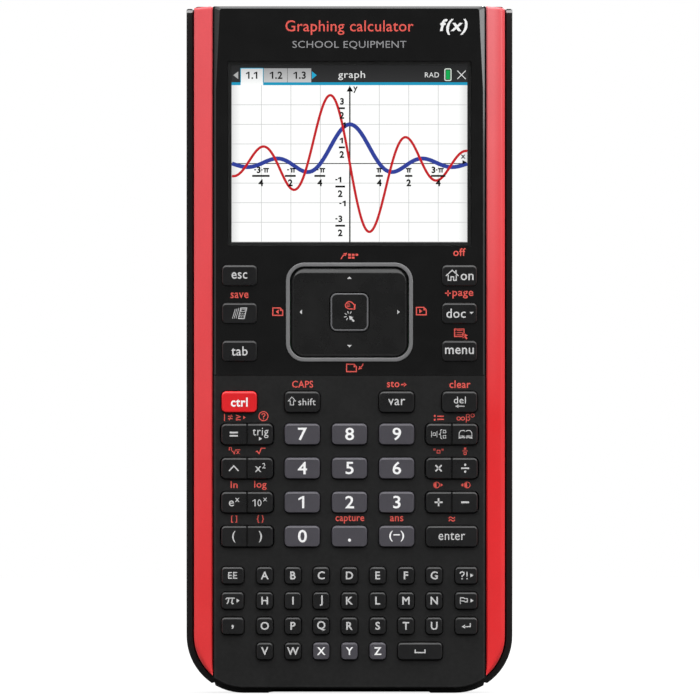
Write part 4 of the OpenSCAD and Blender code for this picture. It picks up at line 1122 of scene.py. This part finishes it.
    # Halves and whole ones up the y axis
    for k in (-3, -2, -1, 1, 2, 3):
        z = axis_z + k * step_z - 0.95
        if abs(k) == 2:
            ink.draw("one 1.55 .45 -1.35,.75" + ("; box -2.9,.57 -2.3,.93" if k < 0 else ""), axis_x, z)
            continue
        x = axis_x - (2.2 if k > 0 else 2.65)
        ink.draw("one 1.55 .45 .1,1.9" if abs(k) == 1 else "text 2.4 .1 .05,1.9 '3", x, z)
        ink.draw("box -.85,-.26 .85,.26" if k > 0 else "box -1.35,1.72 -.75,2.08 -1.35,-.26 1.35,.26", x, z)
        ink.draw("text 2.5 .1 0,-1.95 '2", x, z)
    ink.piece("screen_picture", HANDHELD, "screen_pixels")


for build in (build_front_housing, build_fascia, build_trims, build_rear, build_cover, build_window,
              build_touchpad, build_keys, build_signs, build_screen):
    build()

# Inner and rear pieces keep their CAD meshes: node, material, and the width of its soft edge in mm
KEPT = """
window_gasket gasket_foam 0
lcd_panel pill_carbon 0
lcd_frame pressed_steel 0
lcd_flex flex_film 0
main_board solder_mask .08
usb_port pressed_steel .08
dock_connector contact_block .15
keypad_mat mat_silicone 0
carbon_pills pill_carbon 0
touchpad_gimbal pivot_plastic 0
battery_pack battery_wrap .6
battery_lead wire_sleeve 0
battery_cover case_black .3
battery_screws blackened_steel .15
housing_screws blackened_steel .15
reset_button pivot_plastic .3
"""
for node, material, edge in map(str.split, KEPT.strip().splitlines()):
    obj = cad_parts[node]
    obj.data.materials.clear()
    obj.data.materials.append(M[material])
    if float(edge):
        soft = obj.modifiers.new("soft_edge", "BEVEL")
        soft.width, soft.segments, soft.limit_method = float(edge) * MM, 2, "ANGLE"
        soft.angle_limit = math.radians(50)


# Studio: pale floor, white surround, a bright upper dome and a soft panel on the right
def build_floor():
    """Floor at the foot of the cover: white to the camera with a faint shadow, dim to other rays."""
    m = Nodes(bpy.data.materials.new("studio_floor"))
    tone = m.blend(m.noise(m.where(), 3, 2), linear(176), linear(180))
    pale = m.join(m.add("MixShader", Fac=0.72), 1, m.add("BsdfDiffuse", Color=tone).outputs["BSDF"]).outputs["Shader"]
    glow = m.add("Emission", Color=(1, 1, 1), Strength=0.82).outputs["Emission"]
    dim = m.add("BsdfDiffuse", Color=(0.09, 0.09, 0.09)).outputs["BSDF"]
    both = m.join(m.add("AddShader"), 0, glow, pale).outputs["Shader"]
    look = m.done(m.mixed(m.add("LightPath").outputs["Is Camera Ray"], dim, both))
    size, thick = (-1600, 1600), 2.0
    floor = Shell()
    floor.stack(lambda d: [rounded(size, size, 200, d, 6)], [(thick, -thick), (0, 0)])
    mesh = bpy.data.meshes.new("studio_floor")
    mesh.from_pydata([(x * MM, z * MM, y * MM) for x, y, z in floor.points], [], floor.faces)
    mesh.materials.append(look)
    link("studio_floor", mesh)


def build_world():
    """White to the camera; as light, a dome that is bright above and dim in front of and behind the object."""
    world = bpy.data.worlds.new("studio")
    bpy.context.scene.world = world
    w = Nodes(world, "OutputWorld")
    split = w.add("SeparateXYZ", Vector=w.add("TexCoord").outputs["Generated"])
    height = w.add("ValToRGB", Fac=w.spread(split.outputs["Z"], 0, 1, -1, 1))
    stops = ((0, 0.06), (0.49, 0.11), (0.5, 0.17), (0.70, 0.22), (0.80, 1.0), (1.0, 1.0))
    ramp = height.color_ramp
    while len(ramp.elements) < len(stops):
        ramp.elements.new(0.5)
    for element, (at, level) in zip(ramp.elements, stops):
        element.position = at
        element.color = (level, level, level, 1)
    front = w.spread(split.outputs["Y"], 0.22, 1.0, -0.95, -0.80)
    rear = w.spread(split.outputs["Y"], 1.0, 0.15, 0.1, 0.35)
    level = w.calc("MULTIPLY", w.calc("MULTIPLY", height.outputs["Color"], front), rear)
    lit = w.add("Background", Strength=w.calc("MULTIPLY", level, 4.0)).outputs["Background"]
    seen = w.add("Background", Color=(1, 1, 1)).outputs["Background"]
    w.done(w.mixed(w.add("LightPath").outputs["Is Camera Ray"], lit, seen))


def soft_panel(name, size, power, at, towards):
    lamp = bpy.data.lights.new(name, "AREA")
    lamp.shape, lamp.size, lamp.size_y = "RECTANGLE", *size
    lamp.energy = power
    panel = link(name, lamp)
    panel.location = at
    panel.rotation_euler = (Vector(towards) - Vector(at)).to_track_quat("-Z", "Y").to_euler()
    panel.visible_camera = False


build_floor()
build_world()
soft_panel("side_panel", (0.16, 0.14), 0.26, (0.337, -0.344, CASE_TOP * MM + 0.045),
           (FACE_HALF * MM, FACE * MM, (CASE_TOP - 10) * MM))
soft_panel("rear_panel", (0.6, 0.5), 14.0, (0.5, 0.8, 0.6), (0, BACK * MM, CASE_TOP / 2 * MM))

# Camera: straight at the face, from far enough to keep the sides hidden
FRAME_MM, EYE_X, EYE_Z = 192.85, 0.15, 94.58
camera = bpy.data.cameras.new("front_view")
camera.lens, camera.sensor_width = 600.0, 36.0
camera.clip_start, camera.clip_end = 0.05, 20.0
eye = link("front_view", camera)
eye.location = (EYE_X * MM, (FACE - FRAME_MM * camera.lens / camera.sensor_width) * MM, EYE_Z * MM)
eye.rotation_euler = (math.pi / 2, 0, 0)
bpy.context.scene.camera = eye
bpy.context.scene.view_settings.view_transform = "Standard"
